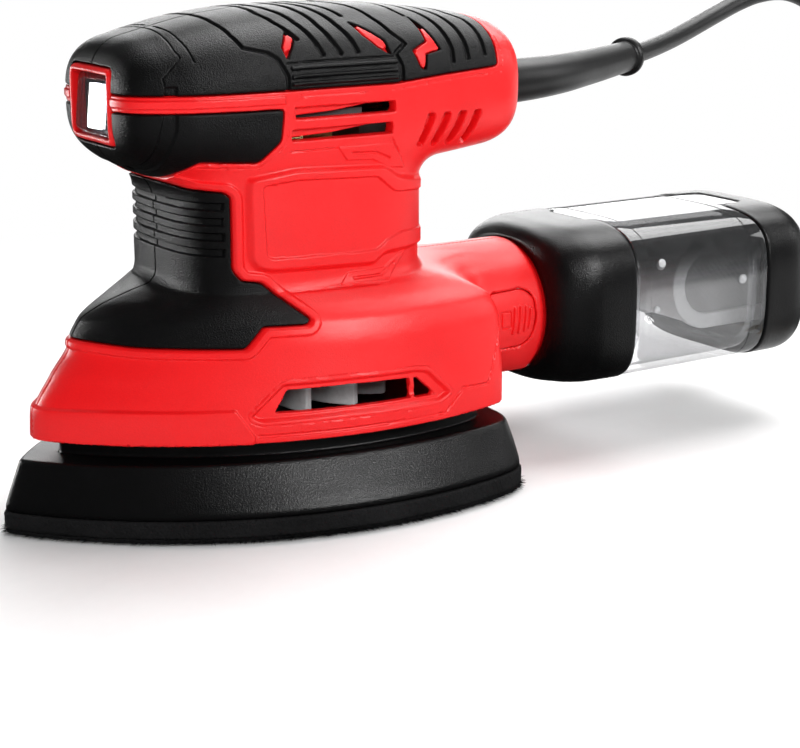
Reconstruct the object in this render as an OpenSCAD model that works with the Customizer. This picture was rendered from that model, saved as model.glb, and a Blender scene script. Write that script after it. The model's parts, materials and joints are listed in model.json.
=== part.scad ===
// Detail mouse sander: iron-shaped orbital pad, upright motor, two-part housing with a palm
// grip, rear dust spout with a removable dust box, and a mains lead.
// Frame: origin on the pad's lower face below the motor axis, +X to the dust box, +Z up.

/* [Sanding pad] */
// Length of the pad from its tip to its rear edge
pad_len = 140; // [138:1:142]
// Width of the pad at its widest point
pad_w = 102; // [100:1:104]
// Thickness of the hook layer under the foam
hook_t = 1.2; // [1:0.1:1.4]
// Height of the top face of the foam
foam_top = 5.8; // [5.4:0.1:6]
// Height of the top edge of the pad plate's skirt
skirt_top = 19.3; // [18.6:0.1:19.6]
// Radius of the pad's orbit
orbit_r = 1; // [0.6:0.1:1]
// Radius of each dust hole
dust_hole_r = 3.6; // [3:0.1:3.8]

/* [Housing] */
// Height of the housing's lower rim
rim_z = 24.4; // [24.2:0.1:24.8]
// Thickness of the housing wall
wall = 3.2; // [3:0.1:3.4]
// Thickness of the soft grips let into the housing
grip_t = 1.4; // [1.2:0.1:1.5]
// Half length of the neck
neck_a = 36.9; // [36.5:0.1:37.5]
// Half width of the neck
neck_b = 29; // [28.8:0.1:29.6]

/* [Dust box] */
// Height of the axis of the dust spout
spout_z = 41.2; // [41:0.1:41.6]
// Outer radius of the dust spout
spout_r = 21; // [20.8:0.1:21]
// Half width of the dust box
box_b = 31; // [30.5:0.1:31.5]
// Half height of the dust box
box_c = 24; // [23.6:0.1:24.2]
// Length of the clear window
window_len = 52; // [48:1:54]

/* [Motor] */
// Radius of the armature core
armature_r = 14.4; // [14:0.1:14.5]
// Radius of the motor shaft at the lower bearing
shaft_r = 4; // [3.9:0.1:4]
// Radius of the cooling fan
fan_r = 33; // [31:0.5:34]
// Number of fan blades
fan_blades = 14; // [10:1:16]

/* [Cord] */
// Diameter of the mains lead
cord_d = 6.2; // [6:0.1:6.4]

/* [Hidden] */
axis_at = 82;               // tip of the pad to the motor axis
wide_at = 98;               // tip of the pad to its widest point
tip_x = -axis_at;
wide_x = wide_at - axis_at;
rear_x = pad_len - axis_at;
side_r = (wide_at * wide_at / (pad_w / 2) + pad_w / 2) / 2;   // radius of each side arc
side_c = side_r - pad_w / 2;                                  // its centre, across the middle
run_gap = 0.05;             // radial clearance of a running fit
part_gap = 0.02;            // half the gap between the housing halves
$fn = 48;

// Dust holes in the pad: distance from the tip and from the middle
dust_holes = [[27.4, 12.6], [50.8, 27.4], [71, 14.5], [92.5, 38.2], [123.8, 36]];
rear_hole = 128.3;

// Isolator posts: place of each on the housing
posts = [[-44, 12], [-44, -12], [34, 24], [34, -24]];
post_r = 4.2;
post_low = 11;

// Height levels of the drive, from the pad up
plate_floor = 9;
pad_bearing_z = 10;
bearing_h = 7;
bearing_outer = 11;
weight_z = 18.2;
weight_top = 24.2;
baffle_z = 25;
baffle_t = 1.4;
fan_z = 28.6;
fan_top = 41;
bracket_z = 43;
bracket_r = 36.8;
lower_bearing_z = 45;
stack_z = 58;
stack_top = 84;
commutator_z = 92;
commutator_top = 103;
brush_z = 97.5;
upper_bearing_z = 108;
upper_bearing_h = 6;
shaft_top = 118;

// Lower housing: height, side scale, front scale, share of the neck's outline
base_stations = [
    [rim_z, 1, 1, 0],
    [31, 1, 0.995, 0],
    [40, 0.97, 0.925, 0],
    [48, 0.945, 0.85, 0],
    [54, 0.93, 0.84, 0.1],
    [57.5, 0.92, 0.84, 0.35],
    [60.3, 0.91, 0.84, 0.7],
    [62, 0.9, 0.84, 0.93],
    [65, 0.9, 0.84, 1],
    [104, 0.9, 0.84, 1]
];
rim_inset = 6.4;
rim_rear = 52;
neck_x = 1.3;

// Palm grip: place along X, height of its middle, half width, half height
head_stations = [
    [-51, 110.4, 14, 11],
    [-49.5, 110.4, 17, 13.2],
    [-47, 110.4, 20.3, 15],
    [-42, 109.8, 25, 17],
    [-36, 109.4, 28.3, 19],
    [-22, 110.2, 30.8, 21.2],
    [-4, 110.6, 31.5, 22.4],
    [16, 110.6, 31.5, 22.6],
    [42, 110.8, 31.2, 20.4],
    [56, 110.6, 28.6, 18.6],
    [63, 110.2, 24, 16],
    [67, 109.6, 19, 13],
    [69, 109, 13.5, 9.5]
];
head_front = head_stations[0][0];
head_rear = head_stations[len(head_stations) - 1][0];
cord_z = 108;

// Switch window in the nose of the grip
switch_z = 110.4;
window_half_y = 11;
window_half_z = 7.4;
frame_half_y = 12.4;
frame_half_z = 9.9;
rocker_x = -43;

// Stretches of the dust box along X
spout_end = 79;
collar_x = 79.4;
collar_end = 106;
window_end = collar_end + window_len;
cap_end = 180;
box_z = 42.5;
seal_x = 88;
seal_t = 1.6;
seal_r = spout_r + 1.6;
filter_x = 149;             // centre of the filter frame's round end
filter_end = 172.8;
filter_r = 14;
filter_t = 3.6;
filter_half = 14;

// Housing screws: X and Z of each, driven from the right side
screws = [[-55, 38], [-29, 72], [32, 72], [-34, 95.5], [50, 121], [52, 97.5]];
screw_r = 1.4;
screw_head_r = 2.7;
screw_head_y = 9;

// Outlines in the XZ plane of the grips, the boot, the side window and the vents
grip_outline = [[-60, 115.4], [-13, 114.4], [20, 113.6], [54, 115.6], [52, 122], [44, 130],
    [40, 140], [-60, 140]];
nose_outline = [[-60, 111.4], [-13, 109.4], [-13.6, 100.6], [-20, 96.2], [-37, 96.6],
    [-44, 94], [-60, 94]];
boot_outline = [[-80, 50.2], [-50, 48.6], [-26, 47.6], [-19, 52.6], [-6, 52.4], [-4.6, 54],
    [-19, 64.6], [-27.5, 69.6], [-27.8, 88.6], [-80, 89.6]];
window_outline = [[-21, 31.4], [-18, 37], [22, 35.6], [30, 32.4], [20, 31.4]];
rear_vents = 4;

// Cord route from the strain relief's end to the coil, with a height of cord_d / 2 at rest
cord_low = cord_d / 2;
sleeve_route = [[64, 0, 108], [72, 0, 108], [82, 0.6, 108.1], [93, 2.6, 108.3],
    [105, 6.8, 108.5], [117, 12.4, 108.8], [129, 18, 109.2], [142, 24.4, 109.7]];
collar_route = [[142, 24.4, 109.7], [145.4, 26.1, 109.85]];
cord_route = [[145.4, 26.1, 109.85], [158, 32.4, 110.4], [172, 39.6, 111.6], [186, 46.6, 113.4],
    [200, 52.8, 116], [213, 57.6, 118.9], [226, 61, 122.2], [238, 62.4, 124.8],
    [250, 62.2, 125.2], [261, 60.8, 121.4], [269.4, 59, 113], [274.8, 57.4, 101],
    [277.4, 56.4, 86], [278.4, 56, 70], [278.8, 56, 54], [279.4, 55.8, 39], [281.4, 54.8, 25.6],
    [285.8, 52, 14.6], [292.4, 46.6, 7], [299, 38.6, 3.6], [304, 29.4, cord_low],
    [307.8, 19.4, cord_low], [309.6, 9, cord_low], [309.5, 3.1, cord_low]];
coil_x = 268;
coil_y = -8;
coil_out = 43;              // radius of the outer turn's centre line
coil_rows = 3;              // turns side by side, in two layers
tail_route = [[268, -51, 9.3], [258, -51.4, 9.1], [248, -52.4, 8.7], [240, -53, 8.5]];
plug_x = 240;
plug_y = -53;
plug_z = 8.5;

// ---- shapes that repeat ------------------------------------------------------------------

function mix(a, b, t) = a + (b - a) * t;
function signed_pow(v, e) = sign(v) * pow(abs(v), e);

// Polar radius of a rounded rectangle of exponent p
function round_box_r(t, a, b, p) =
    pow(pow(abs(cos(t)) / a, p) + pow(abs(sin(t)) / b, p), -1 / p);

// Polar radius of one side arc of the iron shape
function arc_r(t, inset) =
    let(d = wide_x * cos(t) - side_c * sin(t))
    d + sqrt(d * d - wide_x * wide_x - side_c * side_c + (side_r - inset) * (side_r - inset));

// Polar radius of the iron shape; a lower n rounds its corners more
function iron_r(t, inset, rear, n) =
    let(back = cos(t) > 0.02 ? pow(rear / cos(t), -n) : 0)
    pow(pow(arc_r(t, inset), -n) + pow(arc_r(-t, inset), -n) + back, -1 / n);

function iron_outline(inset, rear, n, count) = [
    for (i = [0:count - 1])
        let(t = 360 * i / count, r = iron_r(t, inset, rear, n)) [r * cos(t), r * sin(t)]
];

module iron_plate(z, h, inset, rear_in, n = 30, count = 72) {
    translate([0, 0, z])
        linear_extrude(h)
            polygon(iron_outline(inset, rear_x - rear_in, n, count));
}

// Closed solid through a list of rings with the same number of points
module loft(rings) {
    n = len(rings[0]);
    m = len(rings);
    sides = [
        for (k = [0:m - 2], i = [0:n - 1])
            let(j = (i + 1) % n, a = k * n + i, b = k * n + j, c = b + n, d = a + n)
            each [[a, d, c], [a, c, b]]
    ];
    low_cap = [[for (i = [0:n - 1]) i]];
    high_cap = [[for (i = [n - 1:-1:0]) (m - 1) * n + i]];
    polyhedron([for (ring = rings, p = ring) p], concat(sides, low_cap, high_cap));
}

// Round tube along a route, its rings square to the route's own direction
function route_dir(route, i) =
    let(a = route[max(i - 1, 0)], b = route[min(i + 1, len(route) - 1)]) (b - a) / norm(b - a);
function tube_ring(p, dir, r, sides) =
    let(u0 = cross(dir, abs(dir.z) > 0.8 ? [0, 1, 0] : [0, 0, 1]), u = u0 / norm(u0),
        v = cross(dir, u))
    [for (i = [0:sides - 1]) p + r * (cos(360 * i / sides) * u + sin(360 * i / sides) * v)];

module tube(route, r, sides = 10) {
    loft([for (i = [0:len(route) - 1]) tube_ring(route[i], route_dir(route, i), r, sides)]);
}

module tapered_tube(route, r0, r1, sides = 12) {
    n = len(route) - 1;
    loft([for (i = [0:n])
        tube_ring(route[i], route_dir(route, i), mix(r0, r1, i / n), sides)]);
}

// ---- outer forms -------------------------------------------------------------------------

base_sides = 44;
head_sides = 32;

function base_point(t, s, inset) =
    let(r = iron_r(t, rim_inset, rim_rear, 16),
        front = cos(t) < 0 ? s[2] : 1,
        low = [r * cos(t) * front, r * sin(t) * s[1]],
        q = round_box_r(t, neck_a, neck_b, 3.3),
        high = [neck_x + q * cos(t), q * sin(t)],
        p = mix(low, high, s[3]))
    [p.x - inset * cos(t), p.y - inset * sin(t), s[0]];

module base_form(inset = 0) {
    loft([for (s = base_stations)
        [for (i = [0:base_sides - 1]) base_point(360 * i / base_sides, s, inset)]]);
}

function head_x(x, inset) = x < 0 ? x * (1 + inset / head_front) : x * (1 - inset / head_rear);

module head_form(inset = 0) {
    e = 2 / 2.9;
    loft([for (s = head_stations)
        [for (i = [0:head_sides - 1])
            let(t = 360 * i / head_sides)
            [head_x(s[0], inset),
             (s[2] - inset) * signed_pow(cos(t), e),
             s[1] + (s[3] - inset) * signed_pow(sin(t), e)]]]);
}

module along_x(x, z, y = 0) {
    translate([x, y, z])
        rotate([0, 90, 0])
            children();
}

// Prism across the tool from an outline in the XZ plane, on one side or both
module across(outline, y0 = -60, y1 = 60) {
    translate([0, y1, 0])
        rotate([90, 0, 0])
            linear_extrude(y1 - y0)
                polygon(outline);
}

// Layer of thickness t just under the surface of a form, inside an outline
module head_layer(outline, t, over = 0) {
    intersection() {
        difference() {
            head_form(-over);
            head_form(t);
        }
        across(outline);
    }
}

module base_layer(outline, t, over = 0) {
    intersection() {
        difference() {
            base_form(-over);
            base_form(t);
        }
        across(outline);
    }
}

module half_space(side) {
    translate([-120, side > 0 ? part_gap : -90 - part_gap, 0])
        cube([320, 90, 160]);
}

// ---- housing -----------------------------------------------------------------------------

module housing_outer() {
    base_form();
    head_form();
    along_x(40, spout_z)
        cylinder(r = spout_r, h = spout_end - 40);
    along_x(spout_end - 1, spout_z)
        cylinder(r = spout_r - 1.6, h = 15);
}

module housing_cavity() {
    intersection() {
        base_form(wall);
        translate([-100, -60, rim_z - 1])
            cube([200, 120, 104 - rim_z]);
    }
    translate([0, 0, rim_z - 8])
        linear_extrude(10)
            polygon(iron_outline(rim_inset + wall, rim_rear - wall, 16, base_sides));
    head_form(wall);
    along_x(30, spout_z)
        cylinder(r = spout_r - 3.6, h = 80);
}

module housing_openings() {
    across(window_outline);
    for (z = [101.6, 107.2])
        across([[-10, z - 0.8], [-9, z + 1.7], [20, z + 1.9], [20, z - 0.7]]);
    for (i = [0:rear_vents - 1])
        across([[28.2 + 5 * i, 97.2], [31.4 + 5 * i, 104.6], [33.6 + 5 * i, 104.8],
                [30.4 + 5 * i, 97.2]]);
    translate([-60, -window_half_y - 1, switch_z - window_half_z - 1])
        cube([25, 2 * window_half_y + 2, 2 * window_half_z + 2]);
    translate([-60, -frame_half_y, switch_z - frame_half_z])
        cube([11.2, 2 * frame_half_y, 2 * frame_half_z]);
    along_x(40, cord_z)
        cylinder(r = 5.6, h = 40);
    for (side = [-1, 1])
        translate([54, side > 0 ? 14 : -28, spout_z - 8.4])
            cube([22, 14, 16.8]);
}

module screw_bosses(side) {
    for (s = screws)
        translate([s.x, side > 0 ? 0 : -40, s.y])
            rotate([-90, 0, 0])
                cylinder(r = side > 0 ? 3.9 : 3.2, h = 40, $fn = 16);
}

module screw_pockets(side) {
    for (s = screws)
        translate([s.x, 0, s.y])
            rotate([-90, 0, 0]) {
                if (side > 0)
                    translate([0, 0, screw_head_y - 0.1])
                        cylinder(r = screw_head_r + 0.25, h = 60, $fn = 16);
                translate([0, 0, -12])
                    cylinder(r = screw_r + 0.1, h = 72 * (side > 0 ? 1 : 0) + 12.5, $fn = 16);
            }
}

module housing_half(side) {
    color("red")
        resize([0, 0, 0])
            difference() {
                intersection() {
                    housing_outer();
                    half_space(side);
                }
                difference() {
                    housing_cavity();
                    intersection() {
                        screw_bosses(side);
                        half_space(side);
                    }
                }
                head_layer(grip_outline, grip_t, 0.5);
                head_layer(nose_outline, grip_t, 0.5);
                base_layer(boot_outline, grip_t, 0.5);
                housing_openings();
                screw_pockets(side);
            }
}

module housing_left() {
    housing_half(-1);
}

module housing_right() {
    housing_half(1);
}

module screw_access(side) {
    if (side > 0)
        for (s = screws)
            translate([s.x, 0, s.y])
                rotate([-90, 0, 0])
                    cylinder(r = screw_head_r + 0.25, h = 60, $fn = 16);
}

module head_grip(side, outline) {
    color("dimgray")
        resize([0, 0, 0])
            difference() {
                intersection() {
                    head_layer(outline, grip_t - 0.03);
                    half_space(side);
                }
                translate([-60, -frame_half_y, switch_z - frame_half_z])
                    cube([13, 2 * frame_half_y, 2 * frame_half_z]);
                base_form(-0.03);
                screw_access(side);
            }
}

module top_grip_left() {
    head_grip(-1, grip_outline);
}

module top_grip_right() {
    head_grip(1, grip_outline);
}

module nose_grip_left() {
    head_grip(-1, nose_outline);
}

module nose_grip_right() {
    head_grip(1, nose_outline);
}

module front_boot(side) {
    color("dimgray")
        resize([0, 0, 0])
            difference() {
                intersection() {
                    base_layer(boot_outline, grip_t - 0.03);
                    half_space(side);
                }
                head_form(0.03);
                screw_access(side);
            }
}

module front_boot_left() {
    front_boot(-1);
}

module front_boot_right() {
    front_boot(1);
}

// ---- switch ------------------------------------------------------------------------------

module switch_frame() {
    color("crimson")
        difference() {
            translate([-51.6, -frame_half_y + 0.1, switch_z - frame_half_z + 0.1])
                cube([2.6, 2 * frame_half_y - 0.2, 2 * frame_half_z - 0.2]);
            translate([-55, -window_half_y, switch_z - window_half_z])
                cube([10, 2 * window_half_y, 2 * window_half_z]);
        }
}

module switch_boot() {
    color([0.85, 0.88, 0.9, 0.5])
        translate([-50.9, -window_half_y + 0.1, switch_z - window_half_z + 0.1])
            cube([0.7, 2 * window_half_y - 0.2, 2 * window_half_z - 0.2]);
}

module switch_body() {
    color("black")
        difference() {
            translate([-49, -10.4, switch_z - 8.2])
                cube([25, 20.8, 16.4]);
            translate([-49.5, -8.8, switch_z - 7.4])
                cube([8.4, 17.6, 14.8]);
            translate([rocker_x, 12, switch_z])
                rotate([90, 0, 0])
                    cylinder(r = 1.5 + run_gap, h = 24);
        }
}

module switch_rocker() {
    color("black")
        translate([rocker_x, 0, switch_z])
            rotate([0, 8, 0]) {
                rotate([90, 0, 0])
                    translate([0, 0, -8.2])
                        linear_extrude(16.4)
                            polygon([[-5.2, -5.6], [-4.2, 0], [-5.2, 5.6], [0.6, 5.2],
                                [0.6, -5.2]]);
                rotate([90, 0, 0])
                    translate([0, 0, -10.2])
                        cylinder(r = 1.5, h = 20.4);
            }
}

// ---- base and posts ----------------------------------------------------------------------

module base_baffle() {
    color("dimgray")
        difference() {
            translate([0, 0, baffle_z])
                linear_extrude(baffle_t)
                    polygon(iron_outline(rim_inset + wall + 0.5, rim_rear - wall - 0.5, 16, 72));
            translate([0, 0, baffle_z - 1])
                cylinder(r = 22, h = 4);
        }
}

module isolator_posts() {
    color("#202022")
        for (p = posts)
            translate([p.x, p.y, post_low])
                rotate_extrude()
                    polygon([[0, 0], [post_r, 0], [post_r, 4.4], [post_r - 1.4, 5.6],
                        [post_r - 1.4, 9.4], [post_r, 10.6], [post_r, baffle_z - post_low],
                        [0, baffle_z - post_low]]);
}

module housing_screws() {
    color("silver")
        for (s = screws)
            translate([s.x, -11, s.y])
                rotate([-90, 0, 0]) {
                    cylinder(r = screw_r, h = 11 + screw_head_y + 0.5);
                    translate([0, 0, 11 + screw_head_y])
                        difference() {
                            cylinder(r = screw_head_r, h = 2.2);
                            for (a = [0, 90])
                                rotate([0, 0, a])
                                    translate([-2, -0.4, 1.2])
                                        cube([4, 0.8, 1.2]);
                        }
                }
}

// ---- motor -------------------------------------------------------------------------------

module ring_z(z, h, outer, inner) {
    translate([0, 0, z])
        difference() {
            cylinder(r = outer, h = h);
            translate([0, 0, -1])
                cylinder(r = inner, h = h + 2);
        }
}

module ball_bearing(z, h, outer, inner) {
    ring_z(z, h, outer, outer - 1.6);
    ring_z(z, h, inner + 1.6, inner);
    ring_z(z + 0.8, h - 1.6, outer - 1.6, inner + 1.6);
}

module stator_core() {
    color("silver")
        difference() {
            intersection() {
                translate([0, 0, stack_z])
                    cylinder(r = 25.2, h = stack_top - stack_z);
                translate([-22, -30, stack_z - 1])
                    cube([44, 60, 60]);
            }
            translate([0, 0, stack_z - 1])
                cylinder(r = armature_r + 0.5, h = 40);
            for (a = [-1, 1])
                translate([a > 0 ? 10 : -20, -9, stack_z - 1])
                    cube([10, 18, 40]);
        }
}

module field_coils() {
    color("peru")
        for (z = [stack_z - 5.4, stack_top + 0.2])
            difference() {
                translate([0, 0, z])
                    cylinder(r = 22.6, h = 5.2);
                translate([0, 0, z - 1])
                    cylinder(r = armature_r + 0.8, h = 8);
            }
}

module lower_bracket() {
    color("lightgray")
        difference() {
            union() {
                translate([0, 0, bracket_z])
                    cylinder(r = bracket_r, h = 1.8);
                translate([0, 0, bracket_z])
                    cylinder(r = 14, h = lower_bearing_z + bearing_h - bracket_z);
            }
            translate([0, 0, bracket_z - 1])
                cylinder(r = 6.5, h = 4);
            translate([0, 0, lower_bearing_z])
                cylinder(r = bearing_outer + 0.02, h = 12);
            for (a = [0:45:315])
                rotate([0, 0, a])
                    translate([26, 0, bracket_z - 1])
                        cylinder(r = 6, h = 4);
        }
}

module lower_bearing() {
    color("silver")
        ball_bearing(lower_bearing_z, bearing_h, bearing_outer, shaft_r + run_gap);
}

module upper_bracket() {
    color("lightgray")
        difference() {
            union() {
                translate([-12, -27.4, upper_bearing_z - 2.6])
                    cube([24, 54.8, 2.4]);
                translate([0, 0, upper_bearing_z - 2.6])
                    cylinder(r = 15, h = 9);
            }
            translate([0, 0, upper_bearing_z - 5])
                cylinder(r = 5.5, h = 8);
            translate([0, 0, upper_bearing_z - 0.4])
                cylinder(r = 12.02, h = 12);
        }
}

module bearing_sleeve() {
    color("#202022")
        ring_z(upper_bearing_z - 0.4, 6.4, 12, 9.52);
}

module upper_bearing() {
    color("silver")
        ball_bearing(upper_bearing_z, upper_bearing_h - 0.4, 9.5, 3 + run_gap);
}

module brush_holders() {
    color("goldenrod")
        for (a = [0, 180])
            rotate([0, 0, a])
                difference() {
                    translate([-4.4, 11, brush_z - 4.4])
                        cube([8.8, 14, 8.8]);
                    translate([-3.2, 10, brush_z - 3.2])
                        cube([6.4, 14, 6.4]);
                }
}

module carbon_brushes() {
    color("#303030")
        for (a = [0, 180])
            rotate([0, 0, a])
                translate([-3, 9.9, brush_z - 3])
                    cube([6, 9, 6]);
}

module brush_springs() {
    color("silver")
        for (a = [0, 180])
            rotate([0, 0, a])
                translate([0, 19, brush_z])
                    rotate([-90, 0, 0])
                        rotate_extrude()
                            polygon([for (i = [0:8]) [i % 2 == 0 ? 2 : 2.7, i * 4.8 / 8],
                                for (i = [8:-1:0]) [i % 2 == 0 ? 1.3 : 2, i * 4.8 / 8]]);
}

module capacitor() {
    color("goldenrod")
        translate([20, -6, 117.6])
            cube([18, 12, 9]);
}

module terminal_block() {
    color("ivory")
        difference() {
            translate([22, -10, 95])
                cube([12, 20, 9]);
            for (y = [-5, 5])
                translate([28, y, 99])
                    cylinder(r = 2, h = 10);
        }
}

module wiring() {
    color("navy")
        for (s = [-1, 1])
            tube([[-22.9, 4 * s, 112], [-19, 6 * s, 115], [-13, 11 * s, 118.5],
                [0, 14 * s, 120], [12, 10 * s, 120.4], [18.8, 4 * s, 121]], 1, 8);
}

module cord_clamp() {
    color("dimgray")
        difference() {
            translate([43, -11, cord_z - cord_low - 3.05])
                cube([7, 22, 3]);
            for (y = [-8, 8])
                translate([46.5, y, cord_z - 8])
                    cylinder(r = 1.4, h = 8);
        }
}

module clamp_screws() {
    color("silver")
        for (y = [-8, 8])
            translate([46.5, y, cord_z - cord_low - 4.7]) {
                cylinder(r = 2.4, h = 1.6);
                cylinder(r = 1.3, h = 10);
            }
}

module motor_shaft() {
    color("silver") {
        translate([0, 0, 21])
            cylinder(r = shaft_r, h = commutator_top + 1 - 21);
        translate([0, 0, commutator_top])
            cylinder(r = 3, h = shaft_top - commutator_top);
    }
}

module armature_core() {
    color("gray")
        difference() {
            translate([0, 0, stack_z])
                cylinder(r = armature_r, h = stack_top - stack_z);
            translate([0, 0, stack_z - 1])
                cylinder(r = shaft_r, h = 40);
            for (a = [0:30:330])
                rotate([0, 0, a])
                    translate([armature_r - 2.4, -0.6, stack_z - 1])
                        cube([4, 1.2, 40]);
        }
}

module armature_windings() {
    color("peru")
        for (z = [[stack_z - 4.6, 4.5], [stack_top + 0.1, 6.4]])
            translate([0, 0, z[0]])
                rotate_extrude()
                    polygon([[shaft_r, 0], [10, 0], [12.6, z[1] * 0.3], [12.6, z[1] * 0.8],
                        [10, z[1]], [shaft_r, z[1]]]);
}

module commutator() {
    color("darkorange")
        difference() {
            translate([0, 0, commutator_z])
                cylinder(r = 9.5, h = commutator_top - commutator_z);
            translate([0, 0, commutator_z - 1])
                cylinder(r = shaft_r, h = 20);
            for (a = [0:30:330])
                rotate([0, 0, a])
                    translate([8.6, -0.2, commutator_z - 1])
                        cube([2, 0.4, 20]);
        }
}

module cooling_fan() {
    color("gray")
        difference() {
            union() {
                translate([0, 0, fan_z - 2])
                    cylinder(r = 8, h = fan_top - fan_z + 2);
                translate([0, 0, fan_top - 1.6])
                    cylinder(r = fan_r, h = 1.6);
                for (i = [0:fan_blades - 1])
                    rotate([0, 0, 360 * i / fan_blades])
                        translate([fan_r * 0.52, -0.7, fan_z])
                            cube([fan_r * 0.47, 1.4, fan_top - fan_z - 1]);
            }
            translate([0, 0, fan_z - 5])
                cylinder(r = shaft_r, h = 30);
        }
}

module counterweight() {
    color("slategray")
        difference() {
            union() {
                translate([0, 0, weight_z])
                    cylinder(r = 9, h = weight_top - weight_z);
                intersection() {
                    translate([0, 0, weight_z])
                        cylinder(r = 19, h = weight_top - weight_z);
                    translate([-20, -16, weight_z - 1])
                        cube([18, 32, 20]);
                }
                translate([orbit_r, 0, pad_bearing_z])
                    cylinder(r = shaft_r, h = weight_z - pad_bearing_z + 1);
            }
            translate([0, 0, 21])
                cylinder(r = shaft_r, h = 10);
            translate([orbit_r, 0, pad_bearing_z - 1])
                cylinder(r = 1.5, h = 8);
        }
}

module pad_screw() {
    color("silver")
        translate([orbit_r, 0, 0]) {
            translate([0, 0, 7.6])
                difference() {
                    cylinder(r = 5, h = 2.3);
                    translate([0, 0, -1])
                        cylinder(r = 2, h = 2.2, $fn = 6);
                }
            translate([0, 0, 9.5])
                cylinder(r = 1.48, h = 7);
        }
}

// ---- pad ---------------------------------------------------------------------------------

module dust_hole_set(z, h, r, sides = 48) {
    for (p = dust_holes, s = [-1, 1])
        translate([p.x - axis_at, p.y * s, z])
            cylinder(r = r, h = h, $fn = sides);
    translate([rear_hole - axis_at, 0, z])
        cylinder(r = r, h = h, $fn = sides);
}

module pad_bearing() {
    color("silver")
        translate([orbit_r, 0, 0])
            ball_bearing(pad_bearing_z, bearing_h, bearing_outer, shaft_r + run_gap);
}

function skirt_ring(z, inset, drop) = [
    for (i = [0:59])
        let(t = 6 * i, r = iron_r(t, inset, rear_x - drop, 30)) [r * cos(t), r * sin(t), z]
];

module pad_plate() {
    color("#141414")
        resize([0, 0, 0])
            difference() {
                union() {
                    difference() {
                        loft([skirt_ring(foam_top, 1, 1), skirt_ring(8, 1.6, 1.2),
                            skirt_ring(skirt_top - 1, 8.2, 3.4),
                            skirt_ring(skirt_top, 9, 4.2)]);
                        loft([skirt_ring(plate_floor, 11, 7), skirt_ring(30, 11, 7)]);
                    }
                    translate([orbit_r, 0, foam_top])
                        cylinder(r = 13.5, h = 17.2 - foam_top, $fn = 40);
                    for (p = posts)
                        translate([p.x + orbit_r, p.y, foam_top])
                            cylinder(r = post_r + 3.4, h = 16 - foam_top, $fn = 24);
                }
                translate([orbit_r, 0, pad_bearing_z])
                    cylinder(r = bearing_outer + 0.06, h = 20, $fn = 64);
                translate([orbit_r, 0, 0])
                    cylinder(r = 6, h = 30, $fn = 24);
                for (p = posts)
                    translate([p.x + orbit_r, p.y, post_low - 0.6])
                        cylinder(r = post_r + 1.5, h = 20, $fn = 24);
                dust_hole_set(0, plate_floor + 1, dust_hole_r, 16);
            }
}

module pad_foam() {
    color("#26262a")
        difference() {
            iron_plate(hook_t, foam_top - hook_t, 0, 0);
            dust_hole_set(0, 20, dust_hole_r);
            translate([orbit_r, 0, 0])
                cylinder(r = 6, h = 20);
        }
}

module hook_layer() {
    color("#101010")
        difference() {
            iron_plate(0, hook_t, 0.3, 0.3);
            dust_hole_set(-1, 20, dust_hole_r);
            translate([orbit_r, 0, -1])
                cylinder(r = 6, h = 20);
        }
}

// ---- dust box ----------------------------------------------------------------------------

// Ring of the dust box: a rounded rectangle across X
function box_ring(x, b, c, p = 4.2) = [
    for (i = [0:35])
        let(t = 10 * i, r = round_box_r(t, b, c, p)) [x, r * cos(t), box_z + r * sin(t)]
];

module dust_collar() {
    color("#1c1c1e")
        resize([0, 0, 0])
            difference() {
                loft([box_ring(collar_x, 23.4, 20.6, 3), box_ring(81, 25.4, 22, 3),
                    box_ring(86, 28.8, 23.4, 3.4), box_ring(93, 30.8, 23.9, 4),
                    box_ring(collar_end, box_b, box_c)]);
                loft([box_ring(97, box_b - 4.6, box_c - 4.6),
                    box_ring(120, box_b - 4.6, box_c - 4.6)]);
                loft([box_ring(100, box_b - 2.6, box_c - 2.6),
                    box_ring(120, box_b - 2.6, box_c - 2.6)]);
                along_x(60, spout_z)
                    cylinder(r = spout_r - 1.1, h = 60);
                along_x(seal_x - 0.05, spout_z)
                    cylinder(r = seal_r + 0.05, h = seal_t + 0.1);
            }
}

module spigot_seal() {
    color("#202022")
        along_x(seal_x, spout_z)
            ring_z(0, seal_t, seal_r, spout_r - 1.25);
}

module dust_window() {
    color([0.9, 0.93, 0.95, 0.35])
        resize([0, 0, 0])
            difference() {
                union() {
                    loft([box_ring(100.4, box_b - 2.9, box_c - 2.9),
                        box_ring(collar_end + 0.1, box_b - 2.9, box_c - 2.9)]);
                    loft([box_ring(collar_end + 0.1, box_b - 0.4, box_c - 0.4),
                        box_ring(window_end - 0.1, box_b - 0.4, box_c - 0.4)]);
                    loft([box_ring(window_end - 1, box_b - 2.9, box_c - 2.9),
                        box_ring(window_end + 5, box_b - 2.9, box_c - 2.9)]);
                }
                loft([box_ring(90, box_b - 4.6, box_c - 4.6),
                    box_ring(cap_end, box_b - 4.6, box_c - 4.6)]);
            }
}

// U-shaped frame of the filter, open towards the cap that carries it
module filter_shape(y0, y1, r) {
    translate([filter_x, y1, box_z])
        rotate([90, 0, 0])
            linear_extrude(y1 - y0) {
                circle(r = r);
                translate([0, -r])
                    square([filter_end - filter_x, 2 * r]);
            }
}

module filter_frame() {
    color("gray")
        difference() {
            filter_shape(-filter_half, filter_half, filter_r);
            filter_shape(-filter_half - 1, filter_half + 1, filter_r - filter_t);
        }
}

module filter_cloth() {
    color("lightgray")
        for (y = [-filter_half + 1, filter_half - 2.2])
            filter_shape(y, y + 1.2, filter_r - filter_t - 0.02);
}

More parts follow.
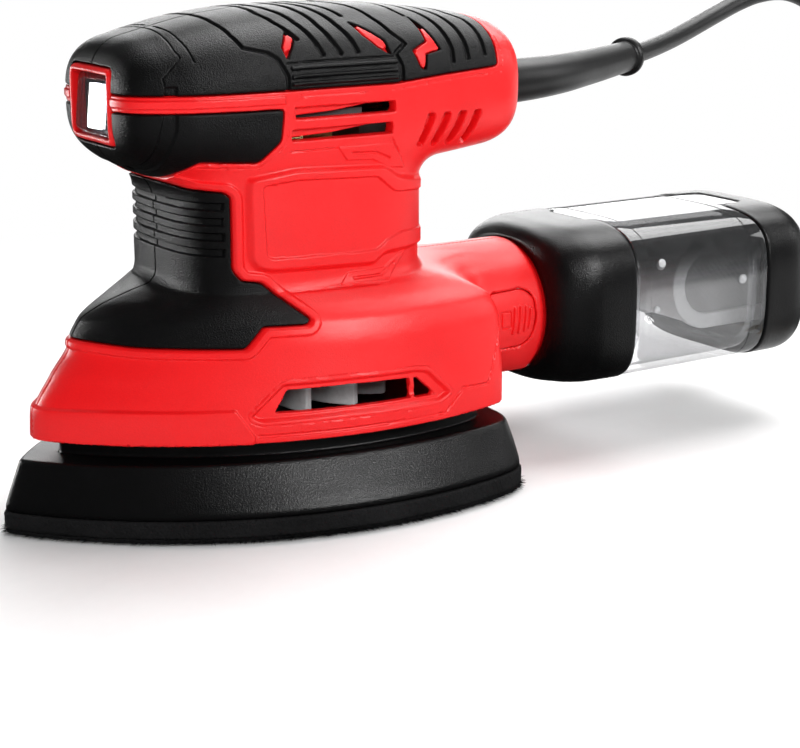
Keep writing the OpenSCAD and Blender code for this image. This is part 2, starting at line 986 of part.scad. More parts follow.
module dust_cap() {
    color("#1c1c1e")
        resize([0, 0, 0])
            difference() {
                loft([box_ring(window_end + 0.1, box_b, box_c),
                    box_ring(170, box_b - 0.3, box_c - 0.2),
                    box_ring(176, box_b - 2.6, box_c - 2), box_ring(179, box_b - 6, box_c - 5),
                    box_ring(cap_end, box_b - 9, box_c - 7.6)]);
                loft([box_ring(150, box_b - 2.6, box_c - 2.6),
                    box_ring(window_end + 5.4, box_b - 2.6, box_c - 2.6),
                    box_ring(window_end + 5.6, box_b - 4.6, box_c - 4.6),
                    box_ring(173, box_b - 4.6, box_c - 4.6)]);
            }
}

// Release tongue let into the side of the spout
module latch(side) {
    color("red")
        intersection() {
            along_x(52, spout_z)
                ring_z(0, 24, spout_r - 0.2, spout_r - 2.2);
            translate([54.4, side > 0 ? 14 : -28, spout_z - 8])
                cube([21.2, 14, 16]);
        }
}

module latch_left() {
    latch(-1);
}

module latch_right() {
    latch(1);
}

// ---- cord --------------------------------------------------------------------------------

module strain_relief() {
    color("#101010")
        resize([0, 0, 0]) {
            tapered_tube(sleeve_route, 5.3, 5);
            tube(collar_route, 6.8, 16);
            along_x(59.4, cord_z)
                cylinder(r = 5.3, h = 5, $fn = 32);
            along_x(61, cord_z)
                cylinder(r = 7.6, h = 2.4, $fn = 32);
        }
}

module inner_lead() {
    color("#101010")
        along_x(38, cord_z)
            cylinder(r = cord_low, h = 21.3);
}

module cord() {
    color("#101010")
        tube(cord_route, cord_d / 2, 10);
}

module cord_coil() {
    inner = coil_out - (coil_rows - 0.5) * cord_d;
    outer = coil_out + cord_d / 2;
    color("#101010")
        translate([coil_x, coil_y, 0])
            rotate_extrude()
                polygon([[inner, 1], [inner + 1, 0], [outer - 1, 0], [outer, 1],
                    [outer, 2 * cord_d - 1], [outer - 1, 2 * cord_d], [inner + 1, 2 * cord_d],
                    [inner, 2 * cord_d - 1]]);
}

module coil_tie() {
    mid = coil_out - cord_d;
    half = coil_rows * cord_d / 2 + 0.8;
    color("#303030")
        translate([coil_x - mid, coil_y - 5, 0])
            difference() {
                translate([-half - 1, 0, 0])
                    cube([2 * half + 2, 10, 2 * cord_d + 1.2]);
                translate([-half, -1, -1])
                    cube([2 * half, 12, 2 * cord_d + 1.1]);
            }
}

module cord_tail() {
    color("#101010")
        tube(tail_route, cord_d / 2, 10);
}

module plug() {
    color("#101010")
        difference() {
            union() {
                along_x(plug_x - 12, plug_z, plug_y)
                    cylinder(r1 = 6.4, r2 = 4.6, h = 11.9);
                translate([plug_x - 42, plug_y - 12, 0.2])
                    cube([30.2, 24, 2 * plug_z - 0.4]);
            }
            for (s = [-1, 1])
                translate([plug_x - 43, plug_y + 6.35 * s - 0.8, plug_z - 3.3])
                    cube([9, 1.6, 6.6]);
        }
}

module plug_blades() {
    color("goldenrod")
        for (s = [-1, 1])
            translate([plug_x - 58, plug_y + 6.35 * s - 0.75, plug_z - 3.175])
                cube([23.9, 1.5, 6.35]);
}

housing_left();
housing_right();
top_grip_left();
top_grip_right();
nose_grip_left();
nose_grip_right();
front_boot_left();
front_boot_right();
switch_frame();
switch_boot();
switch_body();
switch_rocker();
base_baffle();
isolator_posts();
housing_screws();
stator_core();
field_coils();
lower_bracket();
lower_bearing();
upper_bracket();
upper_bearing();
bearing_sleeve();
brush_holders();
carbon_brushes();
brush_springs();
capacitor();
terminal_block();
wiring();
cord_clamp();
clamp_screws();
latch_left();
latch_right();
motor_shaft();
armature_core();
armature_windings();
commutator();
cooling_fan();
counterweight();
pad_screw();
pad_bearing();
pad_plate();
pad_foam();
hook_layer();
dust_collar();
spigot_seal();
dust_window();
dust_cap();
filter_frame();
filter_cloth();
strain_relief();
inner_lead();
cord();
cord_coil();
coil_tie();
cord_tail();
plug();
plug_blades();
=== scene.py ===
import json
import math
from collections import namedtuple

import bmesh
import bpy
import numpy as np
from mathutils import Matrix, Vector


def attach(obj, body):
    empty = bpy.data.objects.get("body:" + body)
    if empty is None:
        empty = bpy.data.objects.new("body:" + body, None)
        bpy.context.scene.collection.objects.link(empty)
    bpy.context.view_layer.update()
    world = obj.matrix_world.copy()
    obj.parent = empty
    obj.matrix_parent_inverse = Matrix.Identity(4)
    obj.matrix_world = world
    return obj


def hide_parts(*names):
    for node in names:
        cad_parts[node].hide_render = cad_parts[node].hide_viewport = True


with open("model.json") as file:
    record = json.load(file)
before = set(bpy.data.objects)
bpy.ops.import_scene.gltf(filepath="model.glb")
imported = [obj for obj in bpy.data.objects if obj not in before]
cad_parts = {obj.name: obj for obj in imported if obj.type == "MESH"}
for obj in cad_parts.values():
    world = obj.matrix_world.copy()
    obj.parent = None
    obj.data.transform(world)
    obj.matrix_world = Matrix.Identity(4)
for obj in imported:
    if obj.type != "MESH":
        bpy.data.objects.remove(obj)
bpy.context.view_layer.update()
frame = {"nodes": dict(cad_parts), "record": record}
scene = bpy.context.scene
MM = 0.001                  # the frame is in metres, the forms below are in mm
SIDES = (-1, 1)             # left, which the photo shows, and right

# ---- camera ------------------------------------------------------------------------------

target = Vector((0.041843, 0, 0.02511))
eye = target + 0.547118 * Vector((-0.52877, -0.80900, 0.25738))
camera_data = bpy.data.cameras.new("camera")
camera_data.sensor_width = 36
camera_data.lens = 84.085
camera_data.clip_start = 0.01
camera = bpy.data.objects.new("camera", camera_data)
camera.location = eye
camera.rotation_euler = (target - eye).to_track_quat("-Z", "Y").to_euler()
scene.collection.objects.link(camera)
scene.camera = camera
scene.view_settings.view_transform = "Standard"

# ---- lines -------------------------------------------------------------------------------


def through(points, step=1.5):
    """Smooth line through points, resampled at an even step, in mm."""
    p = np.array(points, float)
    p = np.vstack([2 * p[0] - p[1], p, 2 * p[-1] - p[-2]])
    out = []
    for i in range(1, len(p) - 2):
        a, b, c, d = p[i - 1], p[i], p[i + 1], p[i + 2]
        for t in np.linspace(0, 1, 16, endpoint=False):
            out.append(0.5 * (2 * b + (c - a) * t + (2 * a - 5 * b + 4 * c - d) * t**2
                              + (3 * b - a - 3 * c + d) * t**3))
    out.append(p[-2])
    return resample(np.array(out), step)


def resample(line, step):
    along = np.concatenate([[0], np.cumsum(np.linalg.norm(np.diff(line, axis=0), axis=1))])
    at = np.linspace(0, along[-1], int(math.ceil(along[-1] / step)) + 1)
    return np.stack([np.interp(at, along, line[:, k]) for k in range(3)], 1)


def smooth(t):
    t = np.clip(t, 0, 1)
    return t * t * (3 - 2 * t)


# ---- cord --------------------------------------------------------------------------------

CORD_R = 3.1
COIL = np.array([268.0, -8.0])
cord_route = [
    (145.4, 26.1, 109.85), (158, 32.4, 110.4), (172, 39.6, 111.6), (186, 46.6, 113.4),
    (200, 52.8, 116), (213, 57.6, 118.9), (226, 61, 122.2), (238, 62.4, 124.8),
    (250, 62.2, 125.2), (261, 60.8, 121.4), (269.4, 59, 113), (274.8, 57.4, 101),
    (277.4, 56.4, 86), (278.4, 56, 70), (278.8, 56, 54), (279.4, 55.8, 39), (281.4, 54.8, 25.6),
    (285.8, 52, 14.6), (292.4, 46.6, 7), (299, 38.6, 3.6), (304, 29.4, 3.1),
    (307.8, 19.4, 3.1), (309.6, 9, 3.1)]


def coil_point(turns):
    """Point of the coil after that many turns: in, round the middle while it climbs, and out."""
    low, high, pitch = CORD_R, CORD_R + 6.25, 6.25
    if turns < 2:
        r, z = 43 - pitch * turns, low
    elif turns < 3:
        s = turns - 2
        dip = min(s, 0.35) * pitch
        r = 30.5 - dip * (1 - float(smooth((s - 0.6) / 0.4)))
        z = low + (high - low) * float(smooth((s - 0.15) / 0.65))
    else:
        r, z = 30.5 + pitch * (turns - 3), high
    a = math.radians(15 - 360 * turns)
    return (COIL[0] + r * math.cos(a), COIL[1] + r * math.sin(a), z)


coil_turns = 5 + 105 / 360
coil_line = [coil_point(t) for t in np.linspace(0.05, coil_turns, 260)]
tail = [(258, -53.2, 9.1), (249, -53.1, 8.7), (240.5, -53, 8.5)]
cord_line = resample(np.vstack([through(cord_route), coil_line, through([coil_line[-1], *tail])[1:]]), 1.6)
cord_curve = bpy.data.curves.new("mains_cord", "CURVE")
cord_curve.dimensions = "3D"
cord_curve.bevel_depth = CORD_R * MM
cord_curve.bevel_resolution = 5
cord_curve.use_fill_caps = True
spline = cord_curve.splines.new("POLY")
spline.points.add(len(cord_line) - 1)
spline.points.foreach_set("co", np.hstack([cord_line * MM, np.ones((len(cord_line), 1))]).ravel())
spline.use_smooth = True
cord = bpy.data.objects.new("mains_cord", cord_curve)
scene.collection.objects.link(cord)

# ---- meshes ------------------------------------------------------------------------------


def mesh_object(name, verts, faces, normals=None):
    """Mesh object from points in mm."""
    mesh = bpy.data.meshes.new(name)
    verts = np.asarray(verts, float)
    if isinstance(faces, np.ndarray):
        n, k = faces.shape
        mesh.vertices.add(len(verts))
        mesh.vertices.foreach_set("co", (verts * MM).astype(np.float32).ravel())
        mesh.loops.add(n * k)
        mesh.loops.foreach_set("vertex_index", faces.astype(np.int32).ravel())
        mesh.polygons.add(n)
        mesh.polygons.foreach_set("loop_start", np.arange(0, n * k, k, dtype=np.int32))
        mesh.update(calc_edges=True)
        mesh.validate()
    else:
        mesh.from_pydata([tuple(v) for v in verts * MM], [], faces)
    mesh.polygons.foreach_set("use_smooth", [True] * len(mesh.polygons))
    if normals is not None and len(normals) == len(mesh.vertices):
        mesh.normals_split_custom_set_from_vertices(normals.tolist())
    obj = bpy.data.objects.new(name, mesh)
    scene.collection.objects.link(obj)
    return obj


def strip(rings, loop=False):
    """Verts and faces through rings of equal length. Loop joins the last ring to the first."""
    rings = [np.asarray(r, float) for r in rings]
    n, m = len(rings[0]), len(rings)
    verts = np.vstack(rings)
    faces = []
    i = np.arange(n)
    j = (i + 1) % n
    for k in range(m if loop else m - 1):
        a, b = k * n, ((k + 1) % m) * n
        faces.extend(np.stack([a + i, a + j, b + j, b + i], 1).tolist())
    if not loop:
        verts = np.vstack([verts, rings[0].mean(0), rings[-1].mean(0)])
        faces.extend([[int(x), int(y), n * m] for x, y in zip(j, i)])
        end = (m - 1) * n
        faces.extend([[end + int(x), end + int(y), n * m + 1] for x, y in zip(i, j)])
    return verts, faces


def merged(parts):
    verts, faces, at = [], [], 0
    for v, f in parts:
        verts.append(v)
        faces.extend([[x + at for x in face] for face in f])
        at += len(v)
    return np.vstack(verts), faces


def reworked(obj, change):
    bm = bmesh.new()
    bm.from_mesh(obj.data)
    change(bm)
    bm.to_mesh(obj.data)
    bm.free()
    return obj


def outward(obj):
    """Turns all faces of a closed mesh outward."""
    return reworked(obj, lambda bm: bmesh.ops.recalc_face_normals(bm, faces=bm.faces))


def crisp(obj, angle=32):
    """Keeps edges sharper than an angle crisp under smooth shading."""
    def mark(bm):
        for e in bm.edges:
            e.smooth = not (len(e.link_faces) == 2 and e.calc_face_angle(0) > math.radians(angle))
    return reworked(obj, mark)


# ---- implicit solids ---------------------------------------------------------------------


def smin(a, b, k):
    """Minimum with a round transition about k wide."""
    h = np.clip(0.5 + 0.5 * (b - a) / k, 0, 1)
    return b * (1 - h) + a * h - k * h * (1 - h)


def smax(a, b, k):
    return -smin(-a, -b, k)


def net(f, lo, hi, pitch):
    """Surface net of f = 0 in a box: points and quads."""
    lo = np.array(lo, float) - pitch
    count = np.ceil((np.array(hi, float) + pitch - lo) / pitch).astype(int) + 1
    axes = [lo[k] + pitch * np.arange(count[k]) for k in range(3)]
    v = np.empty(count)
    gy, gz = np.meshgrid(axes[1], axes[2], indexing="ij")
    rows = max(1, 60000 // gy.size)
    for i in range(0, count[0], rows):
        xs = axes[0][i:i + rows]
        p = np.stack([np.repeat(xs, gy.size), np.tile(gy.ravel(), len(xs)),
                      np.tile(gz.ravel(), len(xs))], 1)
        v[i:i + rows] = f(p).reshape(len(xs), *gy.shape)
    cells = count - 1
    total = np.zeros((int(cells.prod()), 3))
    seen = np.zeros(int(cells.prod()))
    quads = []
    for a in range(3):
        b, c = (a + 1) % 3, (a + 2) % 3
        v0 = np.take(v, range(count[a] - 1), a)
        v1 = np.take(v, range(1, count[a]), a)
        at = np.argwhere((v0 < 0) != (v1 < 0))
        at = at[(at[:, b] > 0) & (at[:, b] < count[b] - 1) & (at[:, c] > 0) & (at[:, c] < count[c] - 1)]
        w0, w1 = v0[tuple(at.T)], v1[tuple(at.T)]
        p = lo + at * pitch
        p[:, a] += pitch * w0 / (w0 - w1)
        ids = []
        for db, dc in ((0, 0), (-1, 0), (-1, -1), (0, -1)):
            cell = at.copy()
            cell[:, b] += db
            cell[:, c] += dc
            k = (cell[:, 0] * cells[1] + cell[:, 1]) * cells[2] + cell[:, 2]
            ids.append(k)
            for d in range(3):
                total[:, d] += np.bincount(k, p[:, d], len(total))
            seen += np.bincount(k, minlength=len(total))
        ids = np.stack(ids, 1)
        ids[w0 >= 0] = ids[w0 >= 0][:, ::-1]
        quads.append(ids)
    used = np.nonzero(seen)[0]
    place = np.zeros(len(total), int)
    place[used] = np.arange(len(used))
    return total[used] / seen[used, None], place[np.vstack(quads)]


def slope(f, p, e=0.03):
    """Value and gradient of f."""
    f0 = f(p)
    return f0, np.stack([(f(p + e * np.eye(3)[k]) - f0) / e for k in range(3)], 1)


def onto(f, p, times, reach):
    """Moves points onto f = 0. Gives them and their normals."""
    for _ in range(times):
        f0, g = slope(f, p)
        step = -f0 / np.maximum((g * g).sum(1), 0.05)
        move = g * step[:, None]
        far = np.linalg.norm(move, axis=1) / reach
        p = p + move / np.maximum(far, 1)[:, None]
    return p, g / np.maximum(np.linalg.norm(g, axis=1), 1e-9)[:, None]


def relax(f, p, normal, tri, share, reach):
    """Evens out the points along the surface."""
    a, b = tri[:, [0, 1, 2]].ravel(), tri[:, [1, 2, 0]].ravel()
    seen = np.bincount(a, minlength=len(p)) + 1e-9
    mean = np.stack([np.bincount(a, p[b, k], len(p)) for k in range(3)], 1) / seen[:, None]
    move = (mean - p) * share
    move -= normal * (move * normal).sum(1)[:, None]
    return onto(f, p + move, 2, reach)


MOST_TRIANGLES = 199000


def refine(f, p, normal, tri, near, pitch, fine, passes):
    """Halves edges that are too long for the relief beside them, or that bend too much."""
    for _ in range(passes):
        ends = np.sort(tri[:, [0, 1, 1, 2, 2, 0]].reshape(-1, 2), 1)
        keys, back = np.unique(ends[:, 0] * len(p) + ends[:, 1], return_inverse=True)
        back = back.ravel()
        a, b = keys // len(p), keys % len(p)
        length = np.linalg.norm(p[a] - p[b], axis=1)
        limit = np.full(len(keys), pitch * 1.75)
        if near is not None:
            limit = np.clip(fine + 0.7 * near((p[a] + p[b]) / 2), fine, pitch * 1.75)
        bend = (normal[a] * normal[b]).sum(1) < 0.955       # by more than about 17 degrees
        cut = (length > limit * 1.25) | (bend & (length > np.maximum(fine * 1.6, limit * 0.45)))
        if len(tri) + 2.2 * cut.sum() > MOST_TRIANGLES - 3000:
            cut &= limit < fine * 2.2
        if cut.sum() < 10 or len(tri) + 2 * cut.sum() > MOST_TRIANGLES:
            break
        marks = cut[back].reshape(-1, 3)
        new = np.cumsum(cut) - 1 + len(p)
        mid, mn = onto(f, (p[a[cut]] + p[b[cut]]) / 2, 2, fine * 2)
        p, normal = np.vstack([p, mid]), np.vstack([normal, mn])
        m = new[back].reshape(-1, 3)
        out = [tri[marks.sum(1) == 0]]
        t, q = tri[marks.sum(1) == 3], m[marks.sum(1) == 3]
        out += [np.stack(c, 1) for c in (
            (t[:, 0], q[:, 0], q[:, 2]), (q[:, 0], t[:, 1], q[:, 1]),
            (q[:, 2], q[:, 1], t[:, 2]), (q[:, 0], q[:, 1], q[:, 2]))]
        for k in range(3):
            i, j, h = k, (k + 1) % 3, (k + 2) % 3
            one = marks[:, i] & ~marks[:, j] & ~marks[:, h]
            t, q = tri[one], m[one]
            out += [np.stack([t[:, i], q[:, i], t[:, h]], 1), np.stack([q[:, i], t[:, j], t[:, h]], 1)]
            two = ~marks[:, i] & marks[:, j] & marks[:, h]
            t, q = tri[two], m[two]
            out += [np.stack([t[:, i], t[:, j], q[:, j]], 1), np.stack([t[:, i], q[:, j], q[:, h]], 1),
                    np.stack([q[:, h], q[:, j], t[:, h]], 1)]
        tri = np.vstack(out)
        p, normal = relax(f, p, normal, tri, 0.35, fine)
    return p, normal, tri


def solid(name, f, lo, hi, pitch=1.0, fine=0.3, near=None, passes=4):
    """Object bounded by f = 0, finer beside its relief."""
    p, quads = net(f, lo, hi, pitch)
    p, normal = onto(f, p, 3, pitch * 0.7)
    tri = np.vstack([quads[:, [0, 1, 2]], quads[:, [0, 2, 3]]])
    p, normal = relax(f, p, normal, tri, 0.5, pitch * 0.5)
    p, normal, tri = refine(f, p, normal, tri, near, pitch, fine, passes)
    flat = np.cross(p[tri[:, 1]] - p[tri[:, 0]], p[tri[:, 2]] - p[tri[:, 0]])
    area = np.linalg.norm(flat, axis=1)
    tri, flat = tri[area > 1e-7], flat[area > 1e-7]
    mean = np.zeros_like(p)
    for k in range(3):
        for d in range(3):
            mean[:, d] += np.bincount(tri[:, k], flat[:, d], len(p))
    mean /= np.maximum(np.linalg.norm(mean, axis=1), 1e-12)[:, None]
    odd = (mean * normal).sum(1) < 0.85         # a normal more than 32 degrees off its faces
    normal[odd] = mean[odd]
    return mesh_object(name, p, tri, normal)


def distance(u, v, points, closed):
    """Distance from a line, or from an outline with negative values inside it."""
    best = np.full(u.shape, 1e9)
    inside = np.zeros(u.shape, bool)
    count = len(points)
    for i in range(count if closed else count - 1):
        (x0, y0), (x1, y1) = points[i], points[(i + 1) % count]
        dx, dy = x1 - x0, y1 - y0
        t = np.clip(((u - x0) * dx + (v - y0) * dy) / max(dx * dx + dy * dy, 1e-9), 0, 1)
        best = np.minimum(best, np.hypot(u - x0 - t * dx, v - y0 - t * dy))
        if closed and dy:
            inside ^= ((y0 > v) != (y1 > v)) & (u < dx * (v - y0) / dy + x0)
    return np.where(inside, -best, best) if closed else best


def soften(points, radius):
    """Rounds the corners of an outline."""
    p = np.array(points, float)
    out = []
    for a, b, c in zip(np.roll(p, 1, 0), p, np.roll(p, -1, 0)):
        la, lc = np.linalg.norm(a - b), np.linalg.norm(c - b)
        r = min(radius, 0.45 * la, 0.45 * lc)
        s, e = b + (a - b) / la * r, b + (c - b) / lc * r
        for t in (0, 0.33, 0.67, 1):
            out.append(tuple((1 - t)**2 * s + 2 * t * (1 - t) * b + t * t * e))
    return out


def rounded(u, v, a, b, r):
    """Distance from a rounded rectangle about the origin."""
    qu, qv = np.abs(u) - a + r, np.abs(v) - b + r
    return np.hypot(np.maximum(qu, 0), np.maximum(qv, 0)) + np.minimum(np.maximum(qu, qv), 0) - r


def table(xs, ys):
    """Monotone smooth curve through stations, as a fast lookup."""
    x, y = np.array(xs, float), np.array(ys, float)
    h = np.diff(x)
    d = np.diff(y) / h
    m = np.zeros(len(x))
    m[0], m[-1] = d[0], d[-1]
    for i in range(1, len(x) - 1):
        if d[i - 1] * d[i] > 0:
            a, b = 2 * h[i] + h[i - 1], h[i] + 2 * h[i - 1]
            m[i] = (a + b) / (a / d[i - 1] + b / d[i])
    q = np.linspace(x[0], x[-1], 500)
    i = np.clip(np.searchsorted(x, q, side="right") - 1, 0, len(h) - 1)
    t = (q - x[i]) / h[i]
    r = (y[i] * (1 + 2 * t) * (1 - t)**2 + h[i] * m[i] * t * (1 - t)**2
         + y[i + 1] * t * t * (3 - 2 * t) + h[i] * m[i + 1] * t * t * (t - 1))
    return lambda v: np.interp(v, q, r)


def columns(rows):
    """Smooth curves through the other columns of a table over its first."""
    first, *others = zip(*rows)
    return [table(first, column) for column in others]

# ---- form of the tool --------------------------------------------------------------------

SPOUT_Z, BOX_Z, CORD_Z, SWITCH_Z, ROCKER_Z = 41.2, 42.5, 108.0, 109.9, 110.4
HEAD_FOOT, FAR_OFF = 86, 900        # the way round the grip is used above this height
BOX_Y, BOX_H = 31, 24       # half width and half height of the dust box
FILTER_X = 149              # middle of the filter frame's round end
ARC_X, ARC_Y, ARC_R = 16, 68.55, 119.55     # the pad's sides are arcs about (ARC_X, -+ARC_Y)
head_rows = [
    (-55, 20.2, 123.2, 97.6), (-47, 23.2, 126, 94.6), (-42, 25.6, 127.2, 92.4),
    (-36, 28.3, 128.6, 90.4), (-22, 30.8, 131.4, 89), (-4, 31.5, 133, 88.2), (16, 31.5, 133.2, 88),
    (42, 31.2, 131.2, 90.4), (56, 30, 129.4, 92), (72, 27.4, 126.4, 94)]
head_width, head_top, head_low = columns(head_rows)


def head(p):
    """The grip's plain form."""
    x, y, z = p.T
    t, b = head_top(x), head_low(x)
    m, h, e = (t + b) / 2, (t - b) / 2, 2.9
    g = ((np.abs(y) / head_width(x))**e + (np.abs(z - m) / h)**e)**(1 / e) + 1e-9
    round_part = np.hypot(y, z - m) * (1 - 1 / g)
    return smax(smax(round_part, -52.3 - x, 9), x - 65.3, 8.5)


ref_t = np.linspace(0, np.pi, 400)
ref_y = 31 * np.abs(np.sin(ref_t))**(2 / 2.9)
ref_z = 22 * np.sign(np.cos(ref_t)) * np.abs(np.cos(ref_t))**(2 / 2.9)
ref_arc = np.concatenate([[0], np.cumsum(np.hypot(np.diff(ref_y), np.diff(ref_z)))])
ref_angle = np.arctan2(ref_y / 31, ref_z / 22)


def girth(p):
    """Way round the grip from its top line, in mm."""
    x, y, z = p.T
    t, b = head_top(x), head_low(x)
    return np.interp(np.arctan2(np.abs(y) / head_width(x), (2 * z - t - b) / (t - b)), ref_angle, ref_arc)


def arc_r(t, inset):
    """Polar radius of one of the pad's side arcs."""
    d = ARC_X * np.cos(t) - ARC_Y * np.sin(t)
    return d + np.sqrt(d * d - ARC_X**2 - ARC_Y**2 + (ARC_R - inset)**2)


def iron_r(t, inset, rear, n):
    """Polar radius of the iron shape."""
    c = np.cos(t)
    back = np.where(c > 0.02, (rear / np.maximum(c, 0.02))**(-float(n)), 0)
    return (arc_r(t, inset)**(-float(n)) + arc_r(-t, inset)**(-float(n)) + back)**(-1 / n)


base_rows = [
    (24.4, 1, 1, 0), (31, 1, 0.995, 0), (40, 0.97, 0.925, 0), (48, 0.945, 0.85, 0),
    (54, 0.93, 0.84, 0.1), (57.5, 0.92, 0.84, 0.35), (60.3, 0.91, 0.84, 0.7),
    (62, 0.9, 0.84, 0.93), (65, 0.9, 0.84, 1), (104, 0.9, 0.84, 1)]
base_side, base_front, base_neck = columns(base_rows)
level = np.linspace(20, 110, 301)
turn = np.linspace(-np.pi, np.pi, 541)
fine_turn = np.linspace(-np.pi, np.pi, 1441)
iron = iron_r(fine_turn, 6.4, 53, 24)
neck = (np.abs(np.cos(fine_turn) / 36.9)**3.3 + np.abs(np.sin(fine_turn) / 29)**3.3)**(-1 / 3.3)
rows = []
for z in level:
    share = base_neck(z)
    front = np.where(np.cos(fine_turn) < 0, base_front(z), 1)
    bx = (1 - share) * iron * np.cos(fine_turn) * front + share * (1.3 + neck * np.cos(fine_turn))
    by = (1 - share) * iron * np.sin(fine_turn) * base_side(z) + share * neck * np.sin(fine_turn)
    angle = np.unwrap(np.arctan2(by, bx))
    angle[0], angle[-1] = -np.pi, np.pi
    rows.append(np.interp(turn, angle, np.hypot(bx, by)))
radius = np.array(rows)
radius_z = np.gradient(radius, level[1] - level[0], axis=0)
radius_t = np.gradient(radius, turn[1] - turn[0], axis=1)


def base(p):
    """The base and neck, from a table of radii over height and angle."""
    x, y, z = p.T
    i = np.clip((z - level[0]) / (level[1] - level[0]), 0, len(level) - 1.001)
    j = np.clip((np.arctan2(y, x) - turn[0]) / (turn[1] - turn[0]), 0, len(turn) - 1.001)
    a, b = i.astype(int), j.astype(int)
    u, v = i - a, j - b
    r, rz, rt = (k[a, b] * (1 - u) * (1 - v) + k[a + 1, b] * u * (1 - v) + k[a, b + 1] * (1 - u) * v
                 + k[a + 1, b + 1] * u * v for k in (radius, radius_z, radius_t))
    return (np.hypot(x, y) - r) / np.sqrt(1 + rz**2 + (rt / r)**2)


def spout(p):
    x, y, z = p.T
    return smax(smax(np.hypot(y, z - SPOUT_Z) - 21, x - 79, 2), 20 - x, 2)


def body(p):
    """The tool's plain form: grip, neck, base and dust spout run together."""
    return smin(smin(head(p), smax(base(p), p[:, 2] - 100, 6), 7), spout(p), 9)


# ---- relief ------------------------------------------------------------------------------

# In the plane "side" points are (x, z), in "top" they are (x, way round the grip). A width of 0
# raises all that lies inside an outline; any other width is a band along its line, at an offset.

top_edge = [(-70, 113.3), (-12, 113.6), (20, 113.7), (36, 115.2), (54, 116.4), (54.4, 128), (53, 145),
            (-70, 145)]
nose_edge = [(-70, 109.3), (-13.2, 109.2), (-14, 101), (-19.9, 95.7), (-34.8, 96.4),
             (-38.5, 93.3), (-40.5, 88), (-41, 80), (-70, 80)]
boot_edge = [(-90, 91), (-39, 90.6), (-34, 88.9), (-27.4, 88.3), (-25.9, 87), (-25.9, 68.2),
             (-23.9, 65.3), (-18.9, 64.5), (-9.3, 55.4), (-10.6, 54), (-21.6, 54), (-26.4, 48.6),
             (-50, 48.7), (-72, 50.8), (-92, 52)]
top_edge = soften(top_edge, 1.2)
nose_edge = soften(nose_edge, 1.2)
boot_edge = soften(boot_edge, 0.8)
inserts = [
    [(-9.3, 25.6), (-8.1, 28.2), (-9.5, 30.6), (-11.4, 33.2), (-12.0, 30.4)],
    [(10.6, 23.8), (13.1, 25.8), (18.1, 30.4), (19.1, 33.8), (16, 32), (12.6, 28.4)],
    [(30.4, 21.5), (32.6, 26.8), (35, 33), (30.4, 34.2), (29.7, 38.2), (28.4, 37.8), (26.6, 33.4),
     (31.4, 30.8), (31.2, 27)]]
recess = soften([(-26.9, 31.5), (-18.2, 39.1), (-1.2, 39.2), (19.2, 38.8), (22.4, 38.2),
                 (29.3, 31.7), (25.8, 30.1), (-2, 30.6), (-24.7, 30.3)], 0.8)
openings = [
    soften([(-20.8, 31.9), (-17, 37.6), (-1.5, 37.7), (17.2, 37.1), (17.2, 31.7)], 0.5),
    soften([(18.5, 31.6), (18.5, 37), (19.6, 36.9), (25.4, 31.5)], 0.4)]
slots = [soften(s, 0.5) for s in (
    [(-10.2, 109.3), (20, 109.2), (20, 106.7), (-9.6, 106.7)],
    [(-11, 103.6), (19.3, 103.7), (19.3, 101.2), (-11, 101.1)])]
slits = [[(-10.2, 106.4), (-10.2, 107.2), (2, 107.8), (12, 109), (19.9, 109.2), (20, 106.4)],
         [(-11, 100.8), (-11, 101.6), (2, 102.2), (12, 103.4), (19.2, 103.7), (19.4, 100.8)]]
slot_steps = (0, 5.1, 10.2, 15.3)
rear_slots = [soften([(a + 28.3, 96.6), (a + 30.7, 105), (a + 33.1, 105), (a + 30.5, 96.6)], 0.7)
              for a in slot_steps]
plate = soften([(-22.2, 91.5), (-9.7, 93.2), (17.5, 92), (22.7, 88.8), (31.5, 87.2), (60, 87),
                (60, 70), (30, 69), (17.9, 68.8), (14.3, 66.3), (-16.5, 67.5), (-20, 68.2),
                (-22, 70.8)], 1.4)
panel = soften([(-18.6, 89.7), (-9.5, 90.7), (15.2, 89.6), (21.3, 85), (31.7, 84.2), (60, 84),
                (60, 73), (23.8, 73.8), (18.8, 72.3), (15.2, 69.9), (-16.4, 70.7),
                (-17.9, 71.5)], 1.0)
fading = [plate, panel]
FADE_X = 36.4               # where both have run out, at the neck's rear edge
latch_edge = soften([(60, 50.1), (72.2, 50.6), (75.4, 48.1), (75.8, 42.3), (74.4, 36),
                     (71.4, 33.7), (60, 33.2)], 1.6)
red_strip = [(-70, 110.4), (-13, 110.5), (-13, 112.4), (-70, 112.5)]
rim_band = [(-95, 32.2), (-58, 33.4), (-31, 33.5), (-26.6, 26.4), (-26.4, 10), (-95, 10)]
rim_groove = [(-25.4, 26.3), (28, 26.2), (34.1, 31.9), (44, 31.3), (51.5, 46)]

Feature = namedtuple("Feature", "plane points closed offset width height edge")


def fields(plane, height, edge, *outlines):
    """Raises or lowers all that lies inside each outline, with a slope as wide as edge."""
    return [Feature(plane, outline, True, 0, 0, height, edge) for outline in outlines]


def bands(plane, width, height, edge, *lines):
    """Ridges or grooves along open lines."""
    return [Feature(plane, line, False, 0, width, height, edge) for line in lines]


